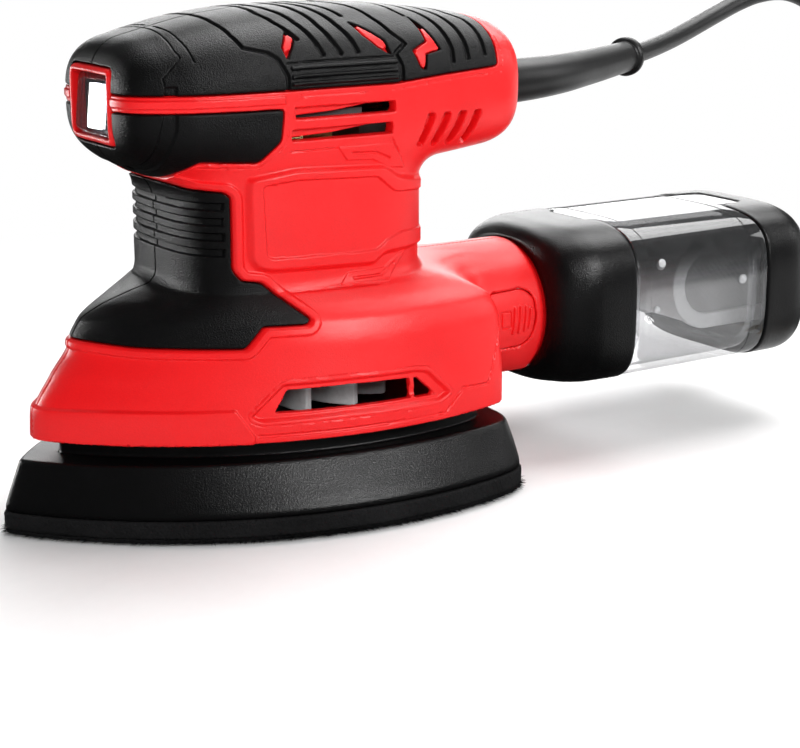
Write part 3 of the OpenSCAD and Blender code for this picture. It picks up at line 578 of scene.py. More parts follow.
red_relief = [
    *bands("side", 0.35, -0.35, 0.3,
           [(-9, 112.2), (20, 112.3), (36, 113.8), (54.8, 114.9), (55.8, 117), (55.6, 124)],
           [(-11.9, 109.9), (-12.6, 100.4), (-19.3, 94.4), (-34.4, 95)]),
    Feature("side", boot_edge, True, 1.35, 2.0, 0.7, 0.9),
    *fields("side", 0.45, 0.5, red_strip),
    *fields("side", -1.5, 0.5, *slots),
    *fields("side", 1.5, 1.9, plate),
    *fields("side", -0.7, 0.6, panel),
    *fields("side", -1.4, 1.3, recess),
    Feature("side", recess, True, 1.4, 0.35, -0.25, 0.3),
    *fields("side", 0.9, 0.7, rim_band),
    *bands("side", 0.6, -0.6, 0.4, rim_groove),
    *bands("side", 0.4, -0.45, 0.3, [(-11.4, 98.1), (2.6, 98.2)], [(19.2, 99.4), (25.4, 91)],
           [(-11.8, 61.4), (3.6, 61.2), (15, 61)]),
    *fields("side", 0.35, 0.4, *(soften(outline, 0.5) for outline in (
        [(2.6, 98.3), (5.6, 94.6), (13.4, 94.3), (19.4, 91.6), (25.6, 91), (19.4, 98.2)],
        [(3.6, 61.8), (6.5, 64.6), (17.9, 64.6), (23.8, 67.8), (27.2, 68.9), (18.7, 61.3)]))),
    *bands("side", 0.6, -0.45, 0.4, [(7, 96.4), (14.5, 96), (19, 94)], [(8, 63), (17, 62.9), (21.5, 65.4)]),
    Feature("side", latch_edge, True, 0.1, 0.3, -0.4, 0.4),
    *fields("side", -2.4, 0.6, *rear_slots),
    *fields("side", 0, 0.4, top_edge, nose_edge, boot_edge, *openings, *slits),
    *fields("top", 0, 0.4, *inserts)]
boot_relief = [
    *fields("side", -0.85, 0.4, *(
        soften([(-60, z + 0.95), (-27.6, z + 0.95), (-27.6, z - 0.95), (-60, z - 0.95)], 0.3)
        for z in (84.5, 80.6, 76.7, 72.6))),
    Feature("side", boot_edge, True, 0, 0.5, -0.3, 0.5)]
grip_relief = [
    *bands("top", 0.35, -0.3, 0.35,
           [(-37, -2), (-37.2, 4.8), (-38.5, 17), (-38.9, 24.9), (-38.4, 28.1), (-43.5, 34.1),
            (-43.2, 39.4)]),
    *bands("top", 0.4, -0.35, 0.35, [(-35.2, 2.8), (-36.1, 20.7), (-35.6, 30.2)]),
    *fields("top", -0.55, 0.7, soften([
        (-43.2, 37), (-40.6, 37), (-40.8, 45.3), (-40.9, 50.6), (-42, 56.7), (-42.8, 64),
        (-43, 84), (-46, 84), (-45.6, 64), (-44.6, 52.5), (-43.8, 46)], 0.6)),
    *bands("top", 0.9, -0.8, 0.7, [(-23.2, -2), (-23.8, 1.7), (-24.8, 15.1), (-24.1, 23.8), (-22.7, 28.9),
                                   (-16.4, 31.4), (-14.1, 33.4), (-12, 37.9), (-12, 44)]),
    *bands("top", 1.0, -0.9, 0.7,
           [(-9.9, -2), (-10.2, 2.9), (-11.9, 14.1), (-10.6, 21.3), (-8.9, 25.1), (-7.2, 28.4)],
           [(7, -2), (7.4, 4.6), (9.2, 15.8), (9.9, 20.2)]),
    *bands("top", 1.15, -0.9, 0.8,
           [(-6.8, -2), (-6.9, 12), (-5.2, 22.3), (-2.9, 28.4), (-1.1, 33)],
           [(-0.2, -2), (-0.5, 14), (0.6, 24), (2.6, 29.6), (4.2, 33)],
           [(3.5, -2), (4.3, 15), (6, 24), (8.2, 29.2), (9.3, 32.8)]),
    *bands("top", 1.0, -0.9, 0.6, [(13.6, -2), (14, 0), (16.8, 12.8), (18.3, 21.8), (21, 27.8), (24.3, 31.4),
                                   (20.8, 34), (22.3, 37.4), (22.4, 45)]),
    *bands("top", 0.9, -0.9, 0.6, [(28.7, -2), (28.3, 6.6), (28.4, 17.5), (29.4, 20.4)]),
    *bands("top", 1.1, -0.9, 0.8,
           [(33, -2), (33.9, 11.8), (35.9, 18.4), (37.2, 23), (38.3, 28.8), (38.9, 32.9), (38.7, 36.4)],
           [(39.4, -2), (40.4, 12.7), (42.1, 19.9), (43.1, 25.2), (43.7, 30.5), (43.8, 35.6)],
           [(45.4, -2), (46.4, 15.1), (49.2, 20.2), (49.8, 25.1), (49.8, 30.3), (49.7, 34.4)]),
    *bands("top", 0.75, 0.55, 0.5, *([(-10.6, g), (20.4, g)] for g in (36.1, 38.2, 40))),
    *bands("top", 0.4, -0.4, 0.35,
           [(-11.6, 34.7), (20.2, 34.7)], [(-11.2, 47), (-11.2, 41.6), (20.2, 41.6)])]


def planes(p, features):
    """Places of the points in the planes that the features use."""
    uv = {"side": p[:, [0, 2]]}
    if any(f.plane == "top" for f in features):
        uv["top"] = np.stack([p[:, 0], np.where(p[:, 2] > HEAD_FOOT, girth(p), FAR_OFF)], 1)
    return uv


def in_reach(uv, f, margin=0):
    """The points beside a feature, and their distance from its edge."""
    q, pad = np.array(f.points), f.offset + f.width / 2 + f.edge + margin
    (u0, v0), (u1, v1) = q.min(0) - pad, q.max(0) + pad
    u, v = uv[f.plane].T
    m = np.flatnonzero((u > u0) & (u < u1) & (v > v0) & (v < v1))
    d = distance(u[m], v[m], f.points, f.closed) - f.offset
    return m, np.abs(d) - f.width / 2 if f.width else d


def relief(p, skin, features):
    """How far the surface stands out, in mm."""
    out = np.zeros(len(p))
    here = np.flatnonzero(np.abs(skin) < 3.4)
    uv = planes(p[here], features)
    for f in features:
        m, gap = in_reach(uv, f)
        rise = f.height * smooth(0.5 - gap / f.edge)
        if f.points in fading:
            rise *= smooth((FADE_X - uv[f.plane][m, 0]) / 4)
        out[here[m]] += rise
    return out


def nearness(features, edge=None):
    """Distance from the nearest step of a relief, or from an edge, for points on the outer skin."""
    def near(p):
        out = np.full(len(p), 6.0)
        skin = body(p)
        here = np.flatnonzero(skin > -2.9)
        uv = planes(p[here], features)
        for f in features:
            m, gap = in_reach(uv, f, 3)
            out[here[m]] = np.minimum(out[here[m]], np.maximum(np.abs(gap) - f.edge * 0.5, 0))
        if edge:
            here = np.flatnonzero(skin > -2.5)
            out[here] = np.minimum(out[here], np.maximum(np.abs(edge(p[here]) + 0.4) - 0.4, 0))
        return out
    return near


def side_gap(outline):
    """Distance from an outline in the side view, for points."""
    return lambda p: distance(p[:, 0], p[:, 2], outline, True)


def top_gap(p):
    """Distance from the edge of the upper grip, negative where it lies."""
    d = side_gap(top_edge)(p)
    here = np.flatnonzero((d < 2) & (p[:, 2] > 105))
    g = girth(p[here])
    for outline in inserts:
        d[here] = np.maximum(d[here], -distance(p[here, 0], g, outline, True))
    return d


nose_gap, boot_gap = side_gap(nose_edge), side_gap(boot_edge)


# ---- housing -----------------------------------------------------------------------------

WALL, GRIP = 3.7, 1.4           # thickness of the housing, and depth of the grips let into it
LIFT, CLEARANCE = 0.15, 0.22    # how far the grips stand out, and the groove round them
SPIGOT_R, DUCT_R = 19.4, 16.9
WINDOW_X = -38                  # the switch's window goes in as far as this
screws = [(-55, 38), (-29, 72), (32, 72), (-34, 95.5), (50, 121), (52, 97.5)]
openings_through = [*((o, 20) for o in openings), *((o, 15) for o in slits)]
openings_through += [([(29 + a, 97.4), (31.2 + a, 104.2), (32 + a, 104.2), (29.8 + a, 97.4)], 12)
                     for a in slot_steps]


def half_box(side, x0, x1, reach, z0, z1):
    """Corners of a box on one side of the middle plane, and a little over it."""
    y0, y1 = (-reach, 0.2) if side < 0 else (-0.2, reach)
    return (x0, y0, z0), (x1, y1, z1)


def housing(side):
    """One half of the housing, hollow, with its screw bosses and openings."""
    def f(p):
        x, y, z = p.T
        skin = body(p)
        outer = skin - relief(p, skin, red_relief)
        near = np.flatnonzero(np.abs(skin + 0.7) < 3)
        q = p[near]
        covered = np.minimum(np.minimum(top_gap(q), nose_gap(q)), boot_gap(q))
        pocket = np.maximum(-(skin[near] + GRIP + 0.05), covered - 0.1)
        outer[near] = smax(outer[near], -pocket, 0.25)
        from_spout = np.hypot(y, z - SPOUT_Z)
        spigot = np.maximum(np.abs(x - 84) - 9.6, from_spout - SPIGOT_R)
        shell = np.maximum(np.minimum(outer, spigot), -(skin + WALL))
        for sx, sz in screws:
            boss = np.hypot(x - sx, z - sz) - (3.9 if side > 0 else 3.2)
            shell = np.minimum(shell, np.maximum(boss, skin + 1))
        shell = np.maximum(shell, -np.maximum(from_spout - DUCT_R, 30 - x))
        deep = np.flatnonzero((shell < 1.5) & (skin > -5))
        cut = np.full(len(deep), 1e3)
        for outline, inner in openings_through:
            d = distance(x[deep], z[deep], outline, True)
            cut = np.minimum(cut, np.maximum(d, inner - np.abs(y[deep])))
        shell[deep] = smax(shell[deep], -cut, 0.3)
        window = np.maximum(rounded(y, z - SWITCH_Z, 12.3, 10.0, 2.4), x - WINDOW_X)
        shell = np.maximum(shell, -window)
        shell = np.maximum(shell, -np.maximum(np.hypot(y, z - CORD_Z) - 5.6, 40 - x))
        if side > 0:
            for sx, sz in screws:
                hole = np.maximum(np.hypot(x - sx, z - sz) - 2.95, 9 - y)
                shell = smax(shell, -hole, 0.4)
        shell = smax(shell, 24.4 - z, 0.5)
        return smax(shell, 0.04 - side * y, 0.5)
    return f


def latch_cut(f):
    """The side of the spout without the place of its release tongue."""
    def g(p):
        v = f(p)
        x, y, z = p.T
        here = np.flatnonzero((x > 53) & (x < 78) & (np.abs(y) > 12) & (np.abs(z - 42) < 12) & (v < 2))
        v[here] = np.maximum(v[here], 0.08 - distance(x[here], z[here], latch_edge, True))
        return v
    return g


near_red = nearness(red_relief)
shells = {}
for side, name in zip(SIDES, ("housing_left", "housing_right")):
    shells[name] = solid(name + "_shell", latch_cut(housing(side)), *half_box(side, -79, 94, 53, 24, 135),
                         1.4, 0.27 if side < 0 else 0.36, near_red, 6)

# ---- soft grips --------------------------------------------------------------------------


def layer(side, edge, features):
    """Soft layer let into the housing inside an edge, in two halves."""
    def f(p):
        skin = body(p)
        v = np.maximum(skin - LIFT - relief(p, skin, features), -(skin + GRIP + 0.5))
        here = np.flatnonzero(v < 1.2)
        v[here] = smax(v[here], edge(p[here]) + CLEARANCE, 0.7)
        window = rounded(p[:, 1], p[:, 2] - SWITCH_Z, 12.4, 10.1, 2.4)
        v = smax(v, -np.maximum(window, p[:, 0] - WINDOW_X), 0.6)
        return smax(v, 0.05 - side * p[:, 1], 0.5)
    return f


for side, word in zip(SIDES, ("left", "right")):
    for name, edge, features, box in (
            ("top_grip_", top_gap, grip_relief, (-56, 56, 34, 111, 135)),
            ("nose_grip_", nose_gap, grip_relief, (-56, -11, 34, 86, 111)),
            ("front_boot_", boot_gap, boot_relief, (-73, -7, 47, 47, 92))):
        shells[name + word] = solid(
            name + word + "_skin", layer(side, edge, features), *half_box(side, *box),
            0.7, 0.33 if side < 0 else 0.42, nearness(features, edge), 4)

# ---- switch ------------------------------------------------------------------------------


def bezel(p):
    """Frame round the switch, which stands a little out of the nose."""
    x, y, z = p.T
    skin = body(p)
    ring = rounded(y, z - SWITCH_Z, 12.0, 9.7, 2.2)
    hole = rounded(y, z - SWITCH_Z, 10.6, 8.1, 0.9)
    outer = skin - 0.5 - 0.5 * smooth(-(ring + 0.2) / 1.6)
    f = smax(smax(outer, ring, 0.9), -(skin + 4.2), 0.4)
    step = rounded(y, z - SWITCH_Z, 11.1, 8.6, 1.2)
    f = smax(f, -np.maximum(step, -(skin - 0.5)), 0.3)
    return smax(smax(f, -hole, 0.5), x - WINDOW_X, 0.3)


def boot_cover(p):
    """Clear dust cover over the rocker."""
    x, y, z = p.T
    skin = body(p)
    ring = rounded(y, z - SWITCH_Z, 10.4, 7.9, 0.9)
    swell = 1.1 * smooth(-ring / 2.4) - 0.4 - 0.1 * (z - SWITCH_Z) - 0.008 * y * y
    f = smax(skin - swell, ring, 1.0)
    f = smax(f, -(skin - swell + 1.1), 0.3)
    return smax(f, x + 40, 0.3)


switch_frame = solid("switch_frame_ring", bezel, (-54, -13.5, 98), (-37, 13.5, 121), 0.6, 0.35, None, 2)
switch_boot = solid("switch_boot_cover", boot_cover, (-54, -11, 101), (-39, 11, 119), 0.5, 0.35, None, 2)


def rocker_form(p):
    """Two-ended rocker with a hollow press face, its back as steep as the switch's front."""
    x, y, z = p.T
    up = z - ROCKER_Z
    face = -46.3 + 0.035 * up**2 + 0.16 * up
    back = 0.99 * (x + 43) - 0.139 * up - 0.5
    f = smax(smax(face - x, rounded(y, up, 8.4, 5.6, 0.8), 0.5), back, 0.4)
    bars = np.maximum(np.abs(np.abs(y) - 3.4) - 0.55, np.abs(z - 113.4) - 1.4)
    return smax(f, -np.maximum(bars, face + 0.5 - x - 0.9), 0.2)


rocker = solid("rocker_face", rocker_form, (-49, -9, 104), (-40, 9, 117), 0.5, 0.3, None, 2)

# ---- release tongues ---------------------------------------------------------------------


def latch_form(side):
    """Tongue in the spout's side, with grip ridges and a small mark."""
    ridges = ((68, 38.2, 45.4), (70, 38.4, 45.6), (72, 38.7, 45.4), (73.6, 39.5, 44.6))

    def f(p):
        x, y, z = p.T
        r = np.hypot(y, z - SPOUT_Z)
        ring = distance(x, z, latch_edge, True) + 0.12
        ring = np.maximum(ring, 53.6 - x)
        out = np.full(len(p), 20.75)
        for rx, z0, z1 in ridges:
            d = distance(x, z, [(rx - 0.5, z0), (rx + 0.3, z1)], False)
            out += 0.6 * smooth(0.5 - (d - 0.45) / 0.5)
        mark = rounded(x - 65.1, z - 42.3, 1.6, 2.3, 0.4)
        out -= 0.4 * smooth(0.5 - (np.abs(mark) - 0.2) / 0.4)
        f = smax(smax(r - out, 18.9 - r, 0.3), ring, 0.7)
        return np.maximum(f, 8 - side * y)
    return f


latches = {}
for side, word in zip(SIDES, ("left", "right")):
    y0, y1 = (-22.5, -10) if side < 0 else (10, 22.5)
    latches[word] = solid("latch_" + word + "_tongue", latch_form(side), (53, y0, 32), (77, y1, 52),
                          0.6, 0.26, lambda p: np.zeros(len(p)), 3)

# ---- pad ---------------------------------------------------------------------------------

dust_holes = [(27.4, 12.6), (50.8, 27.4), (71, 14.5), (92.5, 38.2), (123.8, 36)]
hole_places = [(s - 82, side * w) for s, w in dust_holes for side in SIDES] + [(46.3, 0)]
posts = [(-43, 12), (-43, -12), (35, 24), (35, -24)]
PAD_X = 1                       # the pad's hub stands this far behind the motor's axis
HOOK_TOP, FOAM_TOP = 1.2, 5.8
skirt_inset = table([5.8, 7.2, 9, 13, 18.2, 19.3, 21], [0.9, 1.0, 1.9, 4.4, 7.7, 8.4, 9.4])
skirt_drop = table([5.8, 8, 18.3, 19.3, 21], [1, 1.2, 3.4, 3.9, 4.6])


def pad_r(t, inset, rear):
    """Polar radius of the pad: a keen tip and round rear corners."""
    sides = (arc_r(t, inset)**-90.0 + arc_r(-t, inset)**-90.0)**(1 / 90)
    back = np.where(np.cos(t) > 0.02, np.maximum(np.cos(t), 0.02) / rear, 0)
    return (sides**14.0 + back**14.0)**(-1 / 14)


def pad_gap(x, y, inset, rear):
    """Distance from the pad's outline."""
    t, rho = np.arctan2(y, x), np.hypot(x, y)
    r = pad_r(t, inset, rear)
    lean = (pad_r(t + 0.01, inset, rear) - r) / 0.01 / r
    return (rho - r) / np.sqrt(1 + lean**2)


def holes(p, r):
    x, y, _ = p.T
    best = np.full(len(p), 1e3)
    for hx, hy in hole_places:
        best = np.minimum(best, np.hypot(x - hx, y - hy) - r)
    return best


skirt_share = table([0, 0.65, 0.80, 1.0, 1.5, 2.06, 2.5, 2.8, 2.97, 3.15],
                    [0.6, 0.6, 0.72, 0.9, 1.03, 0.92, 0.74, 0.6, 0.5, 0.5])


def plate_form(p):
    """Pad plate: skirt, tray, lip, hub and post bosses, and dust holes."""
    x, y, z = p.T
    inset = skirt_inset(z) * skirt_share(np.abs(np.arctan2(y, x)))
    rim = pad_gap(x, y, inset, 59.4 - skirt_drop(z)) * 0.9
    f = smax(smax(rim, FOAM_TOP - z, 0.8), z - 19.3, 0.9)
    tray = np.maximum(pad_gap(x, y, 12.8, 49.4), 9 - z)
    f = smax(f, -tray, 0.8)
    lip = np.abs(pad_gap(x, y, 14.2, 48.6)) - 1.5
    f = smin(f, smax(smax(lip, z - 23.4, 0.8), 8 - z, 0.2), 0.8)
    from_hub = np.hypot(x - PAD_X, y)
    from_posts = [np.hypot(x - px, y - py) for px, py in posts]
    bosses = np.maximum(from_hub - 13.5, z - 17.2)
    for r in from_posts:
        bosses = np.minimum(bosses, np.maximum(r - 7.6, z - 16))
    f = smin(f, np.maximum(bosses, FOAM_TOP - z), 1.2)
    f = smax(f, -np.maximum(from_hub - 11.06, 10 - z), 0.3)
    f = np.maximum(f, 6 - from_hub)
    for r in from_posts:
        f = smax(f, -np.maximum(r - 5.7, 10.4 - z), 0.3)
    return smax(f, -np.maximum(holes(p, 3.6), z - 10), 0.4)


def pad_form(z0, z1, inset, soft):
    """Flat layer of the pad between two heights."""
    def f(p):
        x, y, z = p.T
        rim = pad_gap(x, y, inset, 58.6 - inset)
        f = smax(rim, np.abs(z - (z0 + z1) / 2) - (z1 - z0) / 2, soft)
        f = smax(f, -holes(p, 3.6), 0.3)
        return smax(f, 6 - np.hypot(x - PAD_X, y), 0.3)
    return f


def foam_form(p):
    x, y, z = p.T
    pores = np.sin(x * 2.9 + 1.7 * np.sin(y * 1.3)) * np.sin(y * 3.1 + 1.4 * np.sin(z * 2.2 + x))
    pores *= np.sin(z * 3.7 + y)
    return pad_form(HOOK_TOP, FOAM_TOP, 0, 0.7)(p) + 0.1 * pores


def hook_form(p):
    x, y, z = p.T
    tufts = np.sin(x * 4.1 + 1.3 * np.sin(y * 2.3)) * np.sin(y * 4.3 + 1.1 * np.sin(x * 1.9))
    return pad_form(0, HOOK_TOP, 0.3, 0.4)(p) + 0.1 * tufts


pad_plate = solid("pad_plate_skirt", plate_form, (-84, -52, 5), (59.6, 52, 24), 1.1, 0.5, None, 3)
pad_foam = solid("pad_foam_block", foam_form, (-84, -52, 0.6), (59, 52, 6.4), 1.0, 0.5, None, 1)
hook = solid("hook_layer_sheet", hook_form, (-84, -52, -0.4), (59, 52, 1.7), 0.8, 0.5, None, 0)

# Loops of the hook layer that stand out round its edge: thin three-sided spikes
dice = np.random.default_rng(7)
spots, spikes, spike_faces = 4200, [], []
for k in range(spots):
    t = -math.pi + 2 * math.pi * (k + dice.random()) / spots
    r = float(pad_r(np.array([t]), 0.3, 58.3)[0]) - 0.25
    foot = np.array([r * math.cos(t), r * math.sin(t), 0.25 + 1.0 * dice.random()])
    out = np.array([math.cos(t), math.sin(t), 0]) + 0.9 * (dice.random(3) - 0.5)
    out[2] = 0.5 * (dice.random() - 0.6)
    tip = foot + out / np.linalg.norm(out) * (0.7 + 2.0 * dice.random()**2)
    tip[2] = max(tip[2], 0.03)
    side_way = np.cross(out, (0, 0, 1))
    side_way *= 0.15 / np.linalg.norm(side_way)
    spikes += [foot + side_way, foot - side_way, foot + (0, 0, 0.2), tip]
    n = 4 * k
    spike_faces += [(n, n + 1, n + 3), (n + 1, n + 2, n + 3), (n + 2, n, n + 3), (n, n + 2, n + 1)]
fuzz = outward(mesh_object("hook_layer_edge_loops", spikes, spike_faces))
fuzz.data.polygons.foreach_set("use_smooth", [False] * len(fuzz.data.polygons))

# ---- dust box ----------------------------------------------------------------------------


RING_POINTS = 192


def ring(x, b, c, p=4.2, z0=BOX_Z, warp=None):
    """Ring of the dust box across X: a rounded rectangle, or a circle when p is 2."""
    t = np.linspace(0, 2 * np.pi, RING_POINTS, endpoint=False)
    p = np.where(np.sin(t) > 0, 2 + (p - 2) * 0.75, p)
    r = (np.abs(np.cos(t) / b)**p + np.abs(np.sin(t) / c)**p)**(-1 / p)
    y, z = r * np.cos(t), z0 + r * np.sin(t)
    xs = np.full(RING_POINTS, float(x)) + (warp(t) if warp else 0)
    return np.stack([xs, y, z], 1)


def box_rings(*rows, warp=None):
    """Rings at the box's full size less an inset, from (x, inset) rows."""
    return [ring(x, BOX_Y - cut, BOX_H - cut, warp=warp) for x, cut in rows]


def collar_line(t):
    """The collar's edge steps forward over the middle of the top."""
    across = np.abs(np.cos(t)) * BOX_Y
    return np.where(np.sin(t) > 0, -3.2 * smooth((14 - across) / 5) * smooth(np.sin(t) * 3), 0)


def cap_line(t):
    """The cap's edge steps back over the middle of the top, and forward beside it."""
    across = np.abs(np.cos(t)) * BOX_Y
    beside = smooth((across - 12) / 2) * smooth((29 - across) / 14)
    return smooth(np.sin(t) * 3) * (6 * smooth((14 - across) / 1.8) - 2.6 * beside)


collar_b, collar_c, collar_p = columns((
    (79.4, 22.6, 20.2, 2.7), (80.2, 24.2, 21.2, 2.9), (81, 25.4, 22, 3), (83, 27.3, 22.9, 3.15),
    (86, 28.9, 23.4, 3.4), (89.5, 30.2, 23.8, 3.7), (93, 30.8, 23.9, 4), (99, 31, 24, 4.1),
    (105.2, 31, 24, 4.2)))
collar_rings = [ring(94.6, 19.9, 19.9, 2, SPOUT_Z), ring(80.4, 19.9, 19.9, 2, SPOUT_Z),
                ring(79.6, 20.4, 20.2, 2, SPOUT_Z), ring(79.2, 21.6, 20.6, 2.4, 42)]
for x in np.linspace(79.5, 104.6, 34):
    w = smooth((x - 94) / 10)
    collar_rings.append(ring(x, collar_b(x), collar_c(x), collar_p(x),
                             warp=lambda t, w=w: w * collar_line(t)))
collar_rings += box_rings((105.1, 0.12), (105.4, 0.5), (105.5, 1.2), (105.3, 2.6), warp=collar_line)
collar_rings += box_rings((100, 2.6), (100, 4.6), (97, 4.6))
collar_rings.append(ring(95, 20.6, 20.3, 2.2, 41.6))
dust_collar = outward(mesh_object("dust_collar_dome", *strip(collar_rings, loop=True)))

outside, inside = np.linspace(113, 150, 20), np.linspace(150, 113, 16)
window_rings = [
    *box_rings((100.6, 2.9)),
    *box_rings((105.9, 2.9), (106.0, 2.2), (106.0, 0.75), (106.3, 0.35), (106.8, 0.3), warp=collar_line),
    *box_rings((110.2, 0.3), (110.4, 0.45), (110.8, 0.45), (111, 0.3), *((x, 0.3) for x in outside),
               (151, 0.3), (151.2, 0.45), (151.6, 0.45), (151.8, 0.3)),
    *box_rings((156.9, 0.3), (157.4, 0.35), (157.8, 0.75), (157.8, 2.2), (157.9, 2.9), warp=cap_line),
    *box_rings((163.2, 2.9), (163.2, 4.4), (154.6, 4.4), (154.0, 4.2), (153.6, 2.3),
               *((x, 2.2) for x in inside), (110.4, 2.3), (110, 4.2), (109.4, 4.4), (100.6, 4.4))]


def stud(x, y, z, r, h):
    """Small domed stud on the window's inner face."""
    circle = np.linspace(0, 2 * math.pi, 20, endpoint=False)
    rows = [(r, -0.3 * np.sign(h))]
    rows += [(r * math.cos(a), h * math.sin(a)) for a in (math.pi / 2 * k / 8 for k in range(9))]
    return strip([[(x + k * math.cos(b), y + rise, z + k * math.sin(b)) for b in circle]
                  for k, rise in rows])


studs = [stud(x, side * 29.4, z, r, side * 0.8) for side in SIDES
         for x, z, r in ((115.3, 54.6, 1.7), (114.2, 40.9, 1.1), (148.5, 46.4, 1.5))]
lips = [strip(box_rings((x0, 4.55), (x0, 4.85), (x1, 4.85), (x1, 4.55)), loop=True)
        for x0, x1 in ((106.2, 110.2), (153.9, 157.2))]
lip_bands = crisp(outward(mesh_object("dust_window_lip_bands", *merged(lips))))
stud_marks = outward(mesh_object("dust_window_studs", *merged(studs)))
dust_window = crisp(outward(mesh_object("dust_window_shell", *strip(window_rings, loop=True))))

cap_rings = [*box_rings((174, 12), (174.2, 6), (172.5, 4.7), (163.7, 4.6), (163.5, 2.6)),
             *box_rings((158.2, 2.6), (158.0, 1.2), (158.1, 0.5), (158.5, 0.1), warp=cap_line)]
for k in range(5):
    cap_rings += box_rings((159 + 2 * k, 0), warp=lambda t, k=k: cap_line(t) * (1 - k / 5))
for a in np.linspace(0, 1, 15)[1:]:
    lean = math.pi / 2 * a
    cap_rings.append(ring(168 + 11.7 * math.sin(lean), BOX_Y - 9.4 * (1 - math.cos(lean)) - 0.2 * a,
                          BOX_H - 8 * (1 - math.cos(lean)), 4.2 - 0.4 * a))
cap_rings += [ring(*row) for row in (
    (179.75, 20.8, 15.3, 3.8), (179.2, 20, 14.6, 3.8), (179.2, 12, 9, 3.4), (179.2, 4, 3, 3))]
dust_cap = outward(mesh_object("dust_cap_shell", *strip(cap_rings)))


def filter_distance(x, z):
    """Distance from the filter's middle line, which ends in a half circle."""
    return np.where(x < FILTER_X, np.hypot(x - FILTER_X, z - BOX_Z), np.abs(z - BOX_Z))


def filter_ring(p):
    """U-shaped frame of the filter, with a lip along each side."""
    x, y, z = p.T
    d = filter_distance(x, z)
    f = np.maximum(np.maximum(d - 14, 10.4 - d), x - 172.6)
    lip = np.maximum(np.maximum(d - 14.8, 9.9 - d), np.abs(np.abs(y) - 13) - 0.9)
    return smin(smax(f, np.abs(y) - 14, 0.7), smax(lip, x - 172.6, 0.4), 0.6)


def cloth_form(p):
    """Two woven sheets that sag between the sides of the frame."""
    x, y, z = p.T
    d = filter_distance(x, z)
    weave = 0.04 * np.sin(x * 3.1) * np.sin(z * 3.1)
    sag = 0.8 * smooth((9 - d) / 9)
    return np.maximum(np.maximum(d - 10.5, x - 172.4), np.abs(np.abs(y) - 12.5 + sag) - 0.45 + weave)


filter_frame = solid("filter_frame_band", filter_ring, (133, -14.6, 26.6), (173.6, 14.6, 58.4),
                     0.9, 0.5, None, 1)
filter_cloth = solid("filter_cloth_sheets", cloth_form, (137, -14, 31), (173.4, 14, 54), 0.7, 0.5, None, 0)
seal_rings = []
for a in (2 * math.pi * k / 12 for k in range(12)):
    r = 21.2 + 1.2 * math.sin(a)
    seal_rings.append(ring(88.8 + 0.8 * math.cos(a), r, r, 2, SPOUT_Z))
spigot_seal = outward(mesh_object("spigot_seal_ring", *strip(seal_rings, loop=True)))

# ---- fan ---------------------------------------------------------------------------------


def fan_form(p):
    """Round plate with a hub cone, and 14 leaning blades under it."""
    x, y, z = p.T
    r = np.hypot(x, y)
    plate = np.maximum(np.abs(z - 40.2) - 0.8, r - 33)
    cone = smax(r - (8 + 0.16 * (z - 26.6)), np.abs(z - 33.8) - 7.2, 0.6)
    lean = 0.026 * (r - 16)
    a = np.arctan2(y, x) - lean
    part = 2 * np.pi / 14
    a = (a + part / 2) % part - part / 2
    foot = 28.6 + 0.05 * (33 - r)
    blade = smax(np.abs(a) * r - 0.75, np.maximum(foot - z, z - 39.6), 0.5)
    blade = np.maximum(blade, np.maximum(16.5 - r, r - 32.8))
    f = smin(smin(plate, blade, 0.6), cone, 1)
    return np.maximum(f, 4 - r)


fan = solid("cooling_fan_blades", fan_form, (-33.5, -33.5, 26), (33.5, 33.5, 41.5), 0.8, 0.5, None, 1)

# ---- lead: sleeve, plug and tie ----------------------------------------------------------


def tube_rings(line, radii, count):
    """Rings square to a line, each with its own radius."""
    out = []
    for i, (p, r) in enumerate(zip(line, radii)):
        d = line[min(i + 1, len(line) - 1)] - line[max(i - 1, 0)]
        d = d / np.linalg.norm(d)
        u = np.cross(d, (0, 0, 1))
        u /= np.linalg.norm(u)
        v = np.cross(u, d)
        a = np.linspace(0, 2 * np.pi, count, endpoint=False)[:, None]
        out.append(p + r * (np.cos(a) * u + np.sin(a) * v))
    return out


sleeve_line = through([(60, 0, 108), (64, 0, 108), (72, 0, 108), (82, 0.6, 108.1), (93, 2.6, 108.3),
                       (105, 6.8, 108.5), (117, 12.4, 108.8), (129, 18, 109.2), (142, 24.4, 109.7),
                       (145.4, 26.1, 109.85), (147.4, 27.1, 109.93)], 0.5)
s = np.linspace(0, 1, len(sleeve_line)) * 0.5 * (len(sleeve_line) - 1)
end = s[-1]
sleeve_r = np.where(s < 6.4, 5.35, 6.75 - 1.95 * (s - 6.4) / (end - 6.4))
sleeve_r = np.where(s < 1.2, np.where(s > 0.2, 7.4, 5.4), sleeve_r)
barrel = smooth((s - (end - 3.6)) / 1.1) * smooth((end - s) / 1.2 + 0.2)
sleeve_r = np.where(s > end - 3.6, 4.3 + (6.2 - 4.3) * barrel, sleeve_r)
strain_relief = outward(mesh_object("strain_relief_sleeve", *strip(tube_rings(sleeve_line, sleeve_r, 48))))


PLUG_Y, PLUG_Z = -53, 8.5       # the plug's middle line, along X
BLADE_Y = 6.35                  # half the distance of its blades


